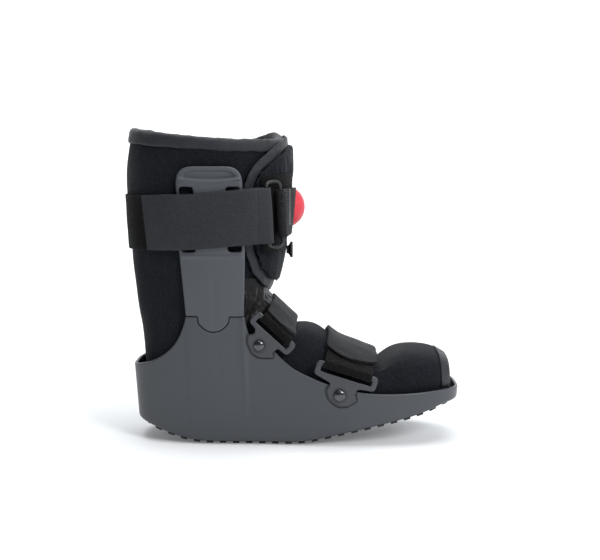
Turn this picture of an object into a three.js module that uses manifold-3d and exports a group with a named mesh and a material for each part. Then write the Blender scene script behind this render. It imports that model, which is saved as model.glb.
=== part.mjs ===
// A short pneumatic walking boot: a rocker-soled shell and two uprights round a padded liner.
// Millimetres. +X points to the toe, -Y is the near side, +Z is up, and the floor is at zero.

import * as THREE from 'three';
import { mergeVertices } from 'three/addons/utils/BufferGeometryUtils.js';
import Module from 'manifold-3d';

const wasm = await Module();
wasm.setup();

// Overall sizes
const LENGTH = 302.5; // shell, heel to toe at the heel rim's height
const HEEL_BACK = -107.5; // the shell's back, from the middle of the sole's flat
const HEIGHT = 285; // floor to the liner's highest edge
const HEEL_HALF = 53.5; // shell's half width at the heel
const FORE_HALF = 60; // shell's half width at the ball of the foot
const PLAN_POWER = 3.6; // how square the shell's ends are, seen from above
const WALL_SLOPE = 0.07; // the shell's walls lean outwards by this much per millimetre of height

// Clearances
const GAP = 0.35;
const SOFT_GAP = 0.4;

// Sole
const FLAT_BACK = 35;
const FLAT_FRONT = 36;
const HEEL_ROCK_RADIUS = 112;
const HEEL_ROCK_BEND = 38;
const TOE_ROCK_RADIUS = 110;
const TOE_ROCK_BEND = 26;
const TIP_RUN = 104; // the toe's last rise starts this far from the flat
const TIP_RADIUS = 230;
const TIP_END = 142; // past this the toe's underside rises only a little
const TIP_SLOPE = 0.1;
const OUTSOLE_THICK = 3;
const OUTSOLE_INSET = 6.5;
const LUG_PITCH = 12;
const LUG_GROOVE = 6.2;
const LUG_DEPTH = 1.7;

// Shell
const SHELL_WALL = 3;
const SHELL_FLOOR = 3;
const POST_HALF = 57.5; // half width over the uprights at the seam
const POST_SLOPE = 0.084;
const POST_CROWN = 0.0014;
const BACK_CROWN = 0.0032;
const POST_TURN = 0.045; // the uprights turn outwards by this much towards the toe
const LUG_BEHIND_STRUT = 11;
const POCKET_DEPTH = 1.2;
const POCKET_ROOM = 2;

// Struts
const STRUT_THICK = 3;
const STRUT_LEAN = 4; // the strut's top lies this far behind its foot
const STRUT_FOOT_WIDTH = 52.5;
const CENTRE_BAR = 28.5;
const SIDE_BAR = 2.75;
const WINDOW_WIDTH = 12.5;
const WINDOW_HEIGHT = 57.3;
const WINDOW_CORNER = 3;
const WINDOW_BELOW_STRAP = 3.4;
const TONGUE_HALF = 14.1;
const TONGUE_BACK = 1.4; // the tongue's middle lies this far behind the strut's
const HEAD_CORNER = 15;
const FIELD_RISE = 0.8; // the field round the windows stands proud of the strut
const FIELD_MARGIN = 4.8;
const HEAD_RECESS = 0.9;
const HEAD_RIM = 3;

// Liner
const LINER_WALL = 6;
const LINER_ROOM = 2.4;
const LEG_BLEND = 36;
const FOOT_POWER = 3;
const LEG_POWER = 2.5;
const TOP_SAG = 3; // the top edge is this much lower at the sides
const CORNER_RISE = 7; // the top edge stands up at its far front corner
const CORNER_TURN = 0.5;
const CORNER_SPREAD = 0.35;
const RING_SEGMENTS = 28;

// Soft layers
const TRIM_THICK = 1.2;
const TOP_BINDING_DEPTH = 9;
const FLAP_THICK = 6;
const FLAP_BINDING_THICK = 2.4;
const FLAP_BINDING_WIDTH = 8.5;
const FLAP_TILT = 0.09;
const BACKING_THICK = 1;
const BACKING_MARGIN = 10;
const STRAP_THICK = 2;
const BAND_THICK = 1.6;
const COVER_THICK = 1.8;
const COVER_ROOM = 1; // between a foot strap's band and its cover
const FOLD_ROOM = 1.1;
const FOLD_CORNER = 0.4;
const TOE_BINDING_WIDTH = 1.1;

// Calf strap and its ring
const CALF_WIDTH = 49;
const CALF_RISE = 0.09;
const CALF_BACK_RISE = 0.03; // the strap's line rises less behind the struts
const CALF_END_SLANT = 0.1;
const RING_WIDTH = 20;
const RING_HEIGHT = 62;
const RING_WIRE = 4;
const WEBBING_WIDTH = 42;
const WEBBING_THICK = 1.4;
const WEBBING_END_Y = 20;

// Brackets and rivets
const BRACKET_THICK = 3;
const SLOT_HIGH = 5.5;
const BAR_HIGH = 4;
const RIVET_HOLE = 5;
const RIVET_TAIL = 8;
const RIVET_TAIL_THICK = 1;

// Bulb and valve
const BULB_RADIUS = 17.5;
const BULB_HIGH = 11.5;
const VALVE_RADIUS = 7.5;
const VALVE_HIGH = 6;

// Shares of the length from the heel, and of the height, for the wall's upper edge
const RIM_BACK = [
  { along: -0.03, high: 0.243 }, { along: 0, high: 0.245 }, { along: 0.039, high: 0.258 },
  { along: 0.066, high: 0.267 }, { along: 0.095, high: 0.284 }, { along: 0.122, high: 0.307 },
  { along: 0.145, high: 0.337 }, { along: 0.158, high: 0.368 }, { along: 0.168, high: 0.396 },
];
const RIM_FRONT = [
  { along: 0.351, high: 0.385 }, { along: 0.358, high: 0.356 }, { along: 0.375, high: 0.35 },
  { along: 0.405, high: 0.345 }, { along: 0.424, high: 0.323 }, { along: 0.438, high: 0.3 }, { along: 0.474, high: 0.263 },
  { along: 0.5, high: 0.243 }, { along: 0.559, high: 0.214 }, { along: 0.599, high: 0.199 },
  { along: 0.664, high: 0.18 }, { along: 0.71, high: 0.172 }, { along: 0.763, high: 0.168 },
  { along: 0.852, high: 0.169 }, { along: 0.934, high: 0.176 }, { along: 0.984, high: 0.175 },
  { along: 1.02, high: 0.17 },
];

// The liner's cross rings fan from the leg round the heel to the foot.
// Each has its front or top point and its back or bottom point, as shares of length and height.
const LINER_RINGS = [
  { front: [0.457, 0.961], back: [-0.003, 0.996] },
  { front: [0.46, 0.877], back: [-0.016, 0.898] },
  { front: [0.458, 0.789], back: [-0.017, 0.8] },
  { front: [0.45, 0.702], back: [-0.013, 0.702] },
  { front: [0.438, 0.625], back: [-0.006, 0.614] },
  { front: [0.426, 0.554], back: [0.005, 0.533] },
  { front: [0.413, 0.498], back: [0.014, 0.449] },
  { front: [0.4, 0.465], back: [0.021, 0.365] },
  { front: [0.413, 0.447], back: [0.028, 0.288] },
  { front: [0.441, 0.421], back: [0.036, 0.21] },
  { front: [0.468, 0.394], back: [0.055, 0.14] },
  { front: [0.498, 0.361], back: [0.1, 0.08] },
  { front: [0.527, 0.368], back: [0.194, 0.05] },
  { front: [0.566, 0.358], back: [0.309, 0.05] },
  { front: [0.588, 0.337], back: [0.457, 0.05] },
  { front: [0.615, 0.307], back: [0.56, 0.05] },
  { front: [0.691, 0.277], back: [0.68, 0.05] },
  { front: [0.755, 0.251], back: [0.75, 0.05] },
  { front: [0.789, 0.287], back: [0.795, 0.05] },
  { front: [0.845, 0.296], back: [0.855, 0.05] },
  { front: [0.901, 0.29], back: [0.91, 0.05] },
  { front: [0.935, 0.278], back: [0.944, 0.05] },
  { front: [0.962, 0.262], back: [0.972, 0.05] },
];
const LAST_RING = LINER_RINGS.length - 1;
const FLOOR_RING = 11; // from this ring on, the liner's lower side lies on the shell's floor
const CREASE_RING = 7; // the ring at the bend between leg and foot

// The flap's edge seen from the side, as shares of length and height, from the front top round
const FLAP_EDGE = [
  { along: 0.62, high: 0.985, corner: 2 }, { along: 0.455, high: 0.975, corner: 10 },
  { along: 0.37, high: 0.905, corner: 26 }, { along: 0.344, high: 0.84, corner: 20 },
  { along: 0.346, high: 0.64, corner: 30 }, { along: 0.37, high: 0.565, corner: 16 },
  { along: 0.425, high: 0.483, corner: 9 }, { along: 0.62, high: 0.46, corner: 2 },
];

// Strap brackets. The rivet's place is in shares of length and height, the rest in millimetres
// from the rivet: the slot's rear lower corner, the slot's slope and length, and the body's outline.
const INSTEP = {
  name: 'instep', rivet: [0.3884, 0.3263], rivetRadius: 5, slotStart: [-3, 21.5],
  slotSlope: -0.745, slotLong: 36.5, hook: 5,
  body: [
    { x: 17, z: -3, corner: 2 }, { x: 12, z: -6, corner: 1.5 }, { x: 12, z: -11, corner: 1 },
    { x: 0, z: -11, corner: 6 }, { x: -6, z: -7, corner: 4 }, { x: -10, z: 2, corner: 4 },
    { x: -10, z: 9.5, corner: 1.5 }, { x: -4, z: 11, corner: 1.5 }, { x: -3.5, z: 15.5, corner: 2 },
  ],
  rows: [0, 0.33, 0.67, 1], bandWidth: 35, tongue: 5, coverDrop: 12, coverWidth: 35, drift: 6,
};
const FOREFOOT = {
  name: 'forefoot', rivet: [0.6264, 0.1684], rivetRadius: 5.5, slotStart: [-17.5, 22.5],
  slotSlope: -0.309, slotLong: 47.5, hook: 5,
  body: [
    { x: 19, z: 5, corner: 2 }, { x: 16, z: 5, corner: 2 }, { x: 13, z: 1, corner: 2 },
    { x: 15, z: -5, corner: 2 }, { x: 7, z: -10, corner: 6 }, { x: 0, z: -10.5, corner: 4 },
    { x: -6, z: -7, corner: 4 }, { x: -10, z: -2, corner: 4 }, { x: -12, z: 5, corner: 2 },
    { x: -8, z: 11, corner: 2 },
  ],
  rows: [0, 0.27, 0.73, 1], bandWidth: 46, tongue: 13, coverDrop: 19, coverWidth: 49, drift: 0,
};

// Colours and finishes
const shellGrey = { color: 0x4e5258, roughness: 0.45 };
const strutGrey = { color: 0x585d64, roughness: 0.5 };
const bracketGrey = { color: 0x53575e, roughness: 0.45 };
const soleBlack = { color: 0x2b2c2f, roughness: 0.8 };
const linerBlack = { color: 0x21252e, roughness: 0.95 };
const bindingGrey = { color: 0x45494f, roughness: 0.8 };
const nylonBlack = { color: 0x121316, roughness: 0.4 };
const strapGrey = { color: 0x3c3e44, roughness: 0.75 };
const loopBlack = { color: 0x19191c, roughness: 0.98 };
const bulbRed = { color: 0xeb4b5a, roughness: 0.55 };
const nickel = { color: 0xc8c8c8, roughness: 0.25, metalness: 1 };
const knobBlack = { color: 0x161719, roughness: 0.4 };

// Numbers

const lerp = (a, b, t) => a + (b - a) * t;
const clamp01 = (t) => Math.min(1, Math.max(0, t));
const smoothstep = (t) => clamp01(t) ** 2 * (3 - 2 * clamp01(t));
const signedPower = (v, power) => Math.sign(v) * Math.abs(v) ** power;
const along = (share) => HEEL_BACK + LENGTH * share;
const up = (share) => HEIGHT * share;
const place = ([share, high]) => new THREE.Vector2(along(share), up(high));

function solve(low, high, error) {
  let [a, b] = [low, high];
  const rising = error(b) > error(a);
  for (let step = 0; step < 40; step += 1) {
    const middle = (a + b) / 2;
    if (error(middle) > 0 === rising) b = middle;
    else a = middle;
  }
  return (a + b) / 2;
}

// Places along the length and up the height

const POST_TOP = up(0.4158);
const STRUT_TOP = up(0.886);
const STRUT_FOOT_X = along(0.2579);
const STRUT_TOP_X = STRUT_FOOT_X - STRUT_LEAN;
const CALF_LEVEL = up(0.7295);
const CALF_BEND_X = along(0.19);
const CALF_END_X = along(0.0529);
const RING_X = along(0.4281);
const BULB_LEVEL = up(0.751);
const VALVE_LEVEL = up(0.6105);

// Solids

function toSolid(geometry) {
  const bare = geometry.index ? geometry.clone() : geometry;
  bare.deleteAttribute('normal');
  bare.deleteAttribute('uv');
  const merged = mergeVertices(bare, 1e-4);
  const vertProperties = Float32Array.from(merged.attributes.position.array);
  const triVerts = Uint32Array.from(merged.index.array);
  return new wasm.Manifold(new wasm.Mesh({ numProp: 3, vertProperties, triVerts }));
}

function toMesh(name, solid, finish) {
  const cut = solid.getMesh();
  const geometry = new THREE.BufferGeometry();
  geometry.setAttribute('position', new THREE.BufferAttribute(cut.vertProperties, 3));
  geometry.setIndex(new THREE.BufferAttribute(cut.triVerts, 1));
  geometry.computeVertexNormals();
  const mesh = new THREE.Mesh(geometry, new THREE.MeshStandardMaterial(finish));
  mesh.name = name;
  return mesh;
}

// Joins equal closed sections in order, and caps both ends unless the last meets the first.
function loft(sections, ring = false) {
  const count = sections[0].length;
  const positions = sections.flat().flatMap((p) => [p.x, p.y, p.z]);
  const triangles = [];
  const strips = ring ? sections.length : sections.length - 1;
  for (let i = 0; i < strips; i += 1) {
    const next = (i + 1) % sections.length;
    for (let j = 0; j < count; j += 1) {
      const k = (j + 1) % count;
      const corners = [i * count + j, i * count + k, next * count + k, next * count + j];
      triangles.push(corners[0], corners[1], corners[2], corners[0], corners[2], corners[3]);
    }
  }
  if (!ring) {
    for (const [i, flip] of [[0, true], [sections.length - 1, false]]) {
      const centre = new THREE.Vector3();
      for (const p of sections[i]) centre.addScaledVector(p, 1 / count);
      const middle = positions.length / 3;
      positions.push(centre.x, centre.y, centre.z);
      for (let j = 0; j < count; j += 1) {
        const [a, b] = [i * count + j, i * count + ((j + 1) % count)];
        if (flip) triangles.push(b, a, middle);
        else triangles.push(a, b, middle);
      }
    }
  }
  if (signedVolume(positions, triangles) < 0) {
    for (let i = 0; i < triangles.length; i += 3) {
      [triangles[i], triangles[i + 1]] = [triangles[i + 1], triangles[i]];
    }
  }
  const geometry = new THREE.BufferGeometry();
  geometry.setAttribute('position', new THREE.Float32BufferAttribute(positions, 3));
  geometry.setIndex(triangles);
  return toSolid(geometry);
}

function signedVolume(positions, triangles) {
  const corner = (i) => new THREE.Vector3().fromArray(positions, triangles[i] * 3);
  let volume = 0;
  for (let i = 0; i < triangles.length; i += 3) {
    volume += corner(i).dot(corner(i + 1).cross(corner(i + 2))) / 6;
  }
  return volume;
}

// A sheet on a grid of points, thickened to the side that its rows and columns face.
function sheet(grid, thickness) {
  const sections = grid.map((row, i) => {
    const before = grid[Math.max(0, i - 1)];
    const after = grid[Math.min(grid.length - 1, i + 1)];
    const outer = row.map((p, j) => {
      const run = after[j].clone().sub(before[j]);
      const across = row[Math.min(row.length - 1, j + 1)].clone().sub(row[Math.max(0, j - 1)]);
      return p.clone().addScaledVector(run.cross(across).normalize(), thickness);
    });
    return [...row, ...outer.reverse()];
  });
  return loft(sections);
}

// Leaves out points that repeat or lie on the straight line between their neighbours.
function cornersOnly(points) {
  const apart = points.filter((p, i) => p.distanceTo(points[(i + 1) % points.length]) > 1e-3);
  return apart.filter((p, i) => {
    const before = p.clone().sub(apart[(i + apart.length - 1) % apart.length]).normalize();
    const after = apart[(i + 1) % apart.length].clone().sub(p).normalize();
    return Math.abs(before.cross(after)) > 1e-4;
  });
}

// A flat outline in x and z carried along y.
function prism(outline, yLow, yHigh) {
  const shape = new THREE.Shape(cornersOnly(outline));
  const options = { depth: yHigh - yLow, bevelEnabled: false };
  const geometry = new THREE.ExtrudeGeometry(shape, options);
  geometry.rotateX(Math.PI / 2).translate(0, yHigh, 0);
  return toSolid(geometry);
}

// Corners with their own radii become points along a closed outline.
function rounded(corners, steps = 3) {
  const points = [];
  corners.forEach((corner, i) => {
    const here = new THREE.Vector2(corner.x, corner.z);
    const last = corners[(i + corners.length - 1) % corners.length];
    const next = corners[(i + 1) % corners.length];
    const back = new THREE.Vector2(last.x, last.z).sub(here);
    const ahead = new THREE.Vector2(next.x, next.z).sub(here);
    const bend = Math.acos(back.dot(ahead) / back.length() / ahead.length());
    const room = Math.min(back.length(), ahead.length()) * 0.49;
    const reach = Math.min(corner.corner / Math.tan(bend / 2), room);
    const start = here.clone().addScaledVector(back.normalize(), reach);
    const end = here.clone().addScaledVector(ahead.normalize(), reach);
    points.push(...new THREE.QuadraticBezierCurve(start, here, end).getPoints(steps));
  });
  return points;
}

// An outline's corners moved outwards, or inwards when the distance is negative.
// Outward corners gain the distance in radius and inward ones lose it.
function grown(corners, distance) {
  const points = corners.map((corner) => new THREE.Vector2(corner.x, corner.z));
  const turn = THREE.ShapeUtils.isClockWise(points) ? 1 : -1;
  const outward = (a, b) => {
    const edge = b.clone().sub(a).normalize();
    return new THREE.Vector2(-edge.y, edge.x).multiplyScalar(turn);
  };
  return corners.map((corner, i) => {
    const here = points[i];
    const before = outward(points[(i + points.length - 1) % points.length], here);
    const after = outward(here, points[(i + 1) % points.length]);
    const middle = before.clone().add(after).normalize();
    const moved = here.clone().addScaledVector(middle, distance / Math.max(0.3, middle.dot(after)));
    const bulge = Math.sign(before.cross(after)) * -turn;
    return { x: moved.x, z: moved.y, corner: Math.max(0.3, corner.corner + bulge * distance) };
  });
}

function mirrorSide(solid) {
  return solid.mirror([0, 1, 0]);
}

// The shell's plan: a drafted rounded outline, wider at the ball than at the heel

const MIDDLE = HEEL_BACK + LENGTH / 2;
const RIM_LEVEL = up(0.242);
const WIDEN_FROM = along(0.29);
const WIDEN_TO = along(0.69);

const bodyHalf = (x) => lerp(HEEL_HALF, FORE_HALF, smoothstep((x - WIDEN_FROM) / (WIDEN_TO - WIDEN_FROM)));
const draft = (z) => (z - RIM_LEVEL) * WALL_SLOPE;

function shellHalf(x, z, offset = 0) {
  const grow = draft(z) + offset;
  const reach = Math.min(1, Math.abs((x - MIDDLE) / (LENGTH / 2 + grow)));
  return (bodyHalf(x) + grow) * (1 - reach ** PLAN_POWER) ** (1 / PLAN_POWER);
}

function planOutline(z, offset, segments = 40) {
  const grow = draft(z) + offset;
  return Array.from({ length: segments }, (_, i) => {
    const turn = (2 * Math.PI * (i + 0.5)) / segments;
    const x = MIDDLE + (LENGTH / 2 + grow) * signedPower(Math.cos(turn), 2 / PLAN_POWER);
    const y = (bodyHalf(x) + grow) * signedPower(Math.sin(turn), 2 / PLAN_POWER);
    return new THREE.Vector3(x, y, z);
  });
}

const PLAN_LOW = -12;
const PLAN_HIGH = POST_TOP + 24;
const planBody = (offset) => loft([planOutline(PLAN_LOW, offset), planOutline(PLAN_HIGH, offset)]);

// The rocker: flat in the middle, then an arc and a straight rise at each end

function soleRise(x) {
  const toToe = x > 0;
  const reach = Math.max(0, toToe ? x - FLAT_FRONT : -x - FLAT_BACK);
  const run = toToe ? Math.min(reach, TIP_END) : reach;
  const radius = toToe ? TOE_ROCK_RADIUS : HEEL_ROCK_RADIUS;
  const bend = Math.min(run, toToe ? TOE_ROCK_BEND : HEEL_ROCK_BEND);
  const tip = toToe ? Math.max(0, run - TIP_RUN) ** 2 / (2 * TIP_RADIUS) : 0;
  return bend ** 2 / (2 * radius) + ((run - bend) * bend) / radius + tip + (reach - run) * TIP_SLOPE;
}

const SOLE_STATIONS = [
  ...[-1.05, -0.86, -0.68, -0.51, -0.34, -0.17].map((share) => -FLAT_BACK - share * (HEEL_BACK + FLAT_BACK)),
  -FLAT_BACK,
  FLAT_FRONT,
  ...[0.055, 0.11, 0.165, 0.66, 0.78, 0.893, 1.02].map((share) => FLAT_FRONT + share * (HEEL_BACK + LENGTH - FLAT_FRONT)),
];

// Points of the rocker curve raised by some height, from heel to toe.
const rockerLine = (height) => SOLE_STATIONS.map((x) => new THREE.Vector2(x, soleRise(x) + height));

function between(lower, upper) {
  return [...lower, ...[...upper].reverse()];
}

const SIDE = 140; // half length of every cutting prism
const SHELL_UNDER = OUTSOLE_THICK + GAP;
const FLOOR_TOP = SHELL_UNDER + SHELL_FLOOR;
const floorAt = (x) => soleRise(x) + FLOOR_TOP;

function outsole() {
  const strip = prism(between(rockerLine(0), rockerLine(OUTSOLE_THICK)), -SIDE, SIDE);
  let body = planBody(-OUTSOLE_INSET).intersect(strip);
  const first = Math.ceil(HEEL_BACK / LUG_PITCH - 0.5);
  const last = Math.floor((HEEL_BACK + LENGTH) / LUG_PITCH - 0.5);
  for (let i = first; i <= last; i += 1) {
    const [a, b] = [-1, 1].map((end) => (i + 0.5) * LUG_PITCH + (end * LUG_GROOVE) / 2);
    const corner = (x, depth) => new THREE.Vector2(x, soleRise(x) + depth);
    const groove = [corner(a, -3), corner(b, -3), corner(b, LUG_DEPTH), corner(a, LUG_DEPTH)];
    body = body.subtract(prism(groove, -SIDE, SIDE));
  }
  return body;
}

// Uprights: one face runs from the shell's post up the strut

const strutAxis = (z) => lerp(STRUT_FOOT_X, STRUT_TOP_X, (z - POST_TOP) / (STRUT_TOP - POST_TOP));
const uprightFace = (x, z) => {
  const across = x - strutAxis(z);
  const crown = across < 0 ? BACK_CROWN : POST_CROWN;
  return POST_HALF + POST_SLOPE * (z - POST_TOP) + POST_TURN * across - crown * across ** 2;
};

// A sheet between two depths behind the uprights' face, on the far side.
function uprightSlab(deepest, shallowest) {
  const columns = [-2, -1, 0, 1, 2].map((step) => step * 17);
  const levels = [-10, POST_TOP, STRUT_TOP + 10];
  return loft(levels.map((z) => {
    const row = (depth) => columns.map((c) => {
      const x = strutAxis(z) + c;
      return new THREE.Vector3(x, uprightFace(x, z) - depth, z);
    });
    return [...row(deepest), ...row(shallowest).reverse()];
  }));
}

const TONGUE_X = STRUT_FOOT_X - TONGUE_BACK;
const OCTAGON = Math.tan(Math.PI / 8); // corners at this share of the radius round off to a semicircle
const WINDOW_CENTRE = (CENTRE_BAR + WINDOW_WIDTH) / 2;
const STRUT_TOP_HALF = CENTRE_BAR / 2 + WINDOW_WIDTH + SIDE_BAR;
const calfLine = (x) => {
  const back = Math.min(0, x - CALF_BEND_X);
  return CALF_LEVEL + CALF_RISE * (x - back) + CALF_BACK_RISE * back;
};
const CALF_AT_STRUT = calfLine(STRUT_TOP_X);
const WINDOW_LOW = CALF_AT_STRUT - CALF_WIDTH / 2 - WINDOW_BELOW_STRAP;
const WINDOW_TOP = WINDOW_LOW + WINDOW_HEIGHT;
const strutHalf = (z) => {
  const share = clamp01((z - POST_TOP) / (WINDOW_LOW - POST_TOP));
  return lerp(STRUT_FOOT_WIDTH / 2, STRUT_TOP_HALF, share);
};

function strutOutline(extra) {
  const edge = (z, side) => ({ x: strutAxis(z) + side * strutHalf(z), z, corner: 40 });
  const corners = [
    { ...edge(STRUT_TOP, -1), corner: HEAD_CORNER }, { ...edge(STRUT_TOP, 1), corner: HEAD_CORNER },
    edge(WINDOW_LOW, 1), { ...edge(POST_TOP, 1), corner: 1 },
    { x: TONGUE_X + TONGUE_HALF, z: POST_TOP, corner: 1.5 },
    { x: TONGUE_X + TONGUE_HALF, z: POST_TOP - OCTAGON * TONGUE_HALF, corner: TONGUE_HALF },
    { x: TONGUE_X + OCTAGON * TONGUE_HALF, z: POST_TOP - TONGUE_HALF, corner: TONGUE_HALF },
    { x: TONGUE_X - OCTAGON * TONGUE_HALF, z: POST_TOP - TONGUE_HALF, corner: TONGUE_HALF },
    { x: TONGUE_X - TONGUE_HALF, z: POST_TOP - OCTAGON * TONGUE_HALF, corner: TONGUE_HALF },
    { x: TONGUE_X - TONGUE_HALF, z: POST_TOP, corner: 1.5 },
    { ...edge(POST_TOP, -1), corner: 1 }, edge(WINDOW_LOW, -1),
  ];
  return rounded(grown(corners, extra), 2);
}

function leaningBox(centre, halfWidth, low, high, corner) {
  const at = (z, side) => ({ x: strutAxis(z) + centre + side * halfWidth, z, corner });
  return rounded([at(low, -1), at(low, 1), at(high, 1), at(high, -1)], 2);
}

function strut() {
  const field = leaningBox(
    0, STRUT_TOP_HALF - SIDE_BAR / 2, WINDOW_LOW - FIELD_MARGIN, WINDOW_TOP + FIELD_MARGIN, FIELD_MARGIN,
  );
  let body = prism(strutOutline(-GAP / 2), 0, SIDE).intersect(uprightSlab(STRUT_THICK, 0));
  body = body.add(prism(field, 0, SIDE).intersect(uprightSlab(STRUT_THICK / 2, -FIELD_RISE)));
  for (const side of [-1, 1]) {
    const window = leaningBox(
      side * WINDOW_CENTRE, WINDOW_WIDTH / 2, WINDOW_LOW, WINDOW_TOP, WINDOW_CORNER,
    );
    body = body.subtract(prism(window, 0, SIDE));
  }
  const head = leaningBox(
    0, STRUT_TOP_HALF - HEAD_RIM, WINDOW_TOP + FIELD_MARGIN, STRUT_TOP - HEAD_RIM, HEAD_CORNER / 2,
  );
  return body.subtract(prism(head, 0, SIDE).intersect(uprightSlab(HEAD_RECESS, -10)));
}

// Brackets: a slotted loop above the rim and a lobe round the rivet

function bracketFrame(bracket) {
  const rivet = place(bracket.rivet);
  const run = new THREE.Vector2(Math.cos(bracket.slotSlope), Math.sin(bracket.slotSlope));
  const rise = new THREE.Vector2(-run.y, run.x);
  const start = rivet.clone().add(new THREE.Vector2(...bracket.slotStart));
  const at = (a, b) => start.clone().addScaledVector(run, a).addScaledVector(rise, b);
  return { rivet, run, rise, start, at };
}

function bracketOutline(bracket, extra = 0) {
  const { rivet, at } = bracketFrame(bracket);
  const loop = (a, b, corner) => ({ x: at(a, b).x, z: at(a, b).y, corner });
  const [rear, front] = [-bracket.hook, bracket.slotLong + bracket.hook];
  const top = SLOT_HIGH + BAR_HIGH;
  return rounded(grown([
    loop(rear, top, 4.5), loop(front, top, 4.5), loop(front, -BAR_HIGH, 4),
    ...bracket.body.map((p) => ({ x: rivet.x + p.x, z: rivet.y + p.z, corner: p.corner })),
    loop(rear, -BAR_HIGH, 4),
  ], extra), 2);
}

function slotOutline(bracket) {
  const { at } = bracketFrame(bracket);
  const corner = (a, b) => ({ x: at(a, b).x, z: at(a, b).y, corner: 1.5 });
  const { slotLong } = bracket;
  return rounded([corner(0, 0), corner(slotLong, 0), corner(slotLong, SLOT_HIGH), corner(0, SLOT_HIGH)], 2);
}

const BRACKET_BACK = GAP - POCKET_DEPTH; // offset of a bracket's inner face from the shell's wall
const bracketSlab = planBody(BRACKET_BACK + BRACKET_THICK).subtract(planBody(BRACKET_BACK));
const pocketSkin = planBody(5).subtract(planBody(-POCKET_DEPTH));

function disc(radius, centre, yLow, yHigh, sides = 16) {
  const geometry = new THREE.CylinderGeometry(radius, radius, yHigh - yLow, sides);
  geometry.translate(centre.x, (yLow + yHigh) / 2, 0);
  const matrix = new THREE.Matrix4().makeTranslation(0, 0, centre.y);
  return toSolid(geometry.applyMatrix4(matrix));
}

function bracket(kind) {
  const { rivet } = bracketFrame(kind);
  return prism(bracketOutline(kind), 0, SIDE)
    .intersect(bracketSlab)
    .subtract(prism(slotOutline(kind), 0, SIDE))
    .subtract(disc(RIVET_HOLE / 2 + GAP, rivet, 0, SIDE, 12));
}

// A domed head outside the bracket, a shank through both and a flat tail inside the wall.
function rivet(kind) {
  const { rivet: centre } = bracketFrame(kind);
  const outside = shellHalf(centre.x, centre.y, BRACKET_BACK + BRACKET_THICK) + GAP + 0.35;
  const inside = shellHalf(centre.x, centre.y, -SHELL_WALL) - GAP - 0.4;
  const radius = kind.rivetRadius;
  const profile = [
    [0, inside - RIVET_TAIL_THICK], [RIVET_TAIL / 2, inside - RIVET_TAIL_THICK],
    [RIVET_TAIL / 2, inside], [RIVET_HOLE / 2, inside], [RIVET_HOLE / 2, outside],
    [radius, outside], [radius, outside + 0.8], [radius * 0.72, outside + 2.2], [0, outside + 3],
  ].map(([r, y]) => new THREE.Vector2(r, y));
  const geometry = new THREE.LatheGeometry(profile, 8);
  return toSolid(geometry.translate(centre.x, 0, centre.y));
}

// Shell

function rimProfile() {
  const curve = (rows) => {
    const points = rows.map((row) => new THREE.Vector3(along(row.along), up(row.high), 0));
    return new THREE.CatmullRomCurve3(points, false, 'centripetal').getPoints(Math.round(points.length * 1.1));
  };
  const lugTop = POST_TOP + LUG_BEHIND_STRUT;
  const postEdge = STRUT_FOOT_WIDTH / 2;
  const lug = rounded([
    { x: STRUT_FOOT_X - postEdge, z: POST_TOP - 1, corner: 0.5 },
    { x: STRUT_FOOT_X - postEdge + 2, z: lugTop, corner: 5 },
    { x: STRUT_FOOT_X + postEdge - 2, z: lugTop, corner: 5 },
    { x: STRUT_FOOT_X + postEdge, z: POST_TOP + 0.5, corner: 0.5 },
  ]);
  const flat = (points) => points.map((p) => new THREE.Vector2(p.x, p.y));
  const back = flat(curve(RIM_BACK)).filter((p) => p.x < STRUT_FOOT_X - postEdge - GAP);
  const front = flat(curve(RIM_FRONT)).filter((p) => p.x > STRUT_FOOT_X + postEdge + GAP);
  return [...back, ...flat(lug), ...front];
}

function shell() {
  const walls = prism(between(rockerLine(SHELL_UNDER), rimProfile()), -SIDE, SIDE);
  let body = planBody(0).intersect(walls);
  const postEdge = STRUT_FOOT_WIDTH / 2;
  const pad = rounded([
    { x: STRUT_FOOT_X - postEdge - 1, z: up(0.06), corner: 14 },
    { x: STRUT_FOOT_X + postEdge + 1, z: up(0.06), corner: 14 },
    { x: STRUT_FOOT_X + postEdge, z: POST_TOP, corner: 2 },
    { x: STRUT_FOOT_X - postEdge, z: POST_TOP, corner: 2 },
  ]);
  const boss = prism(pad, 0, SIDE).intersect(uprightSlab(12, 0));
  const cavityLine = between(rockerLine(FLOOR_TOP), [
    new THREE.Vector2(HEEL_BACK - 20, PLAN_HIGH + 10),
    new THREE.Vector2(HEEL_BACK + LENGTH + 20, PLAN_HIGH + 10),
  ]);
  body = body.add(boss).add(mirrorSide(boss));
  body = body.subtract(planBody(-SHELL_WALL).intersect(prism(cavityLine, -SIDE, SIDE)));
  const seat = prism(strutOutline(GAP), 0, SIDE).intersect(uprightSlab(STRUT_THICK + GAP, -15));
  body = body.subtract(seat).subtract(mirrorSide(seat));
  for (const kind of [INSTEP, FOREFOOT]) {
    const pocket = prism(bracketOutline(kind, POCKET_ROOM), -SIDE, SIDE).intersect(pocketSkin);
    const hole = disc(RIVET_HOLE / 2 + GAP, bracketFrame(kind).rivet, -SIDE, SIDE, 12);
    body = body.subtract(pocket).subtract(hole);
  }
  return body;
}

// Liner surface: rings that hold clear of the shell below and of the struts above

const strutInner = (x, z) => uprightFace(x, z) - STRUT_THICK;
const WIDEST_HEEL = along(0.14);
const STRAP_ROOM = STRAP_THICK + 2 * SOFT_GAP;
const LUG_TOP = POST_TOP + LUG_BEHIND_STRUT;

function sideHalf(x, z) {
  const widest = Math.max(x, WIDEST_HEEL);
  const inShell = shellHalf(widest, Math.min(z, LUG_TOP), -SHELL_WALL - LINER_ROOM);
  const inStruts = strutInner(strutAxis(z) - CENTRE_BAR / 2, z) - STRAP_ROOM;
  return lerp(inShell, inStruts, smoothstep((z - LUG_TOP) / LEG_BLEND));
}

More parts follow.
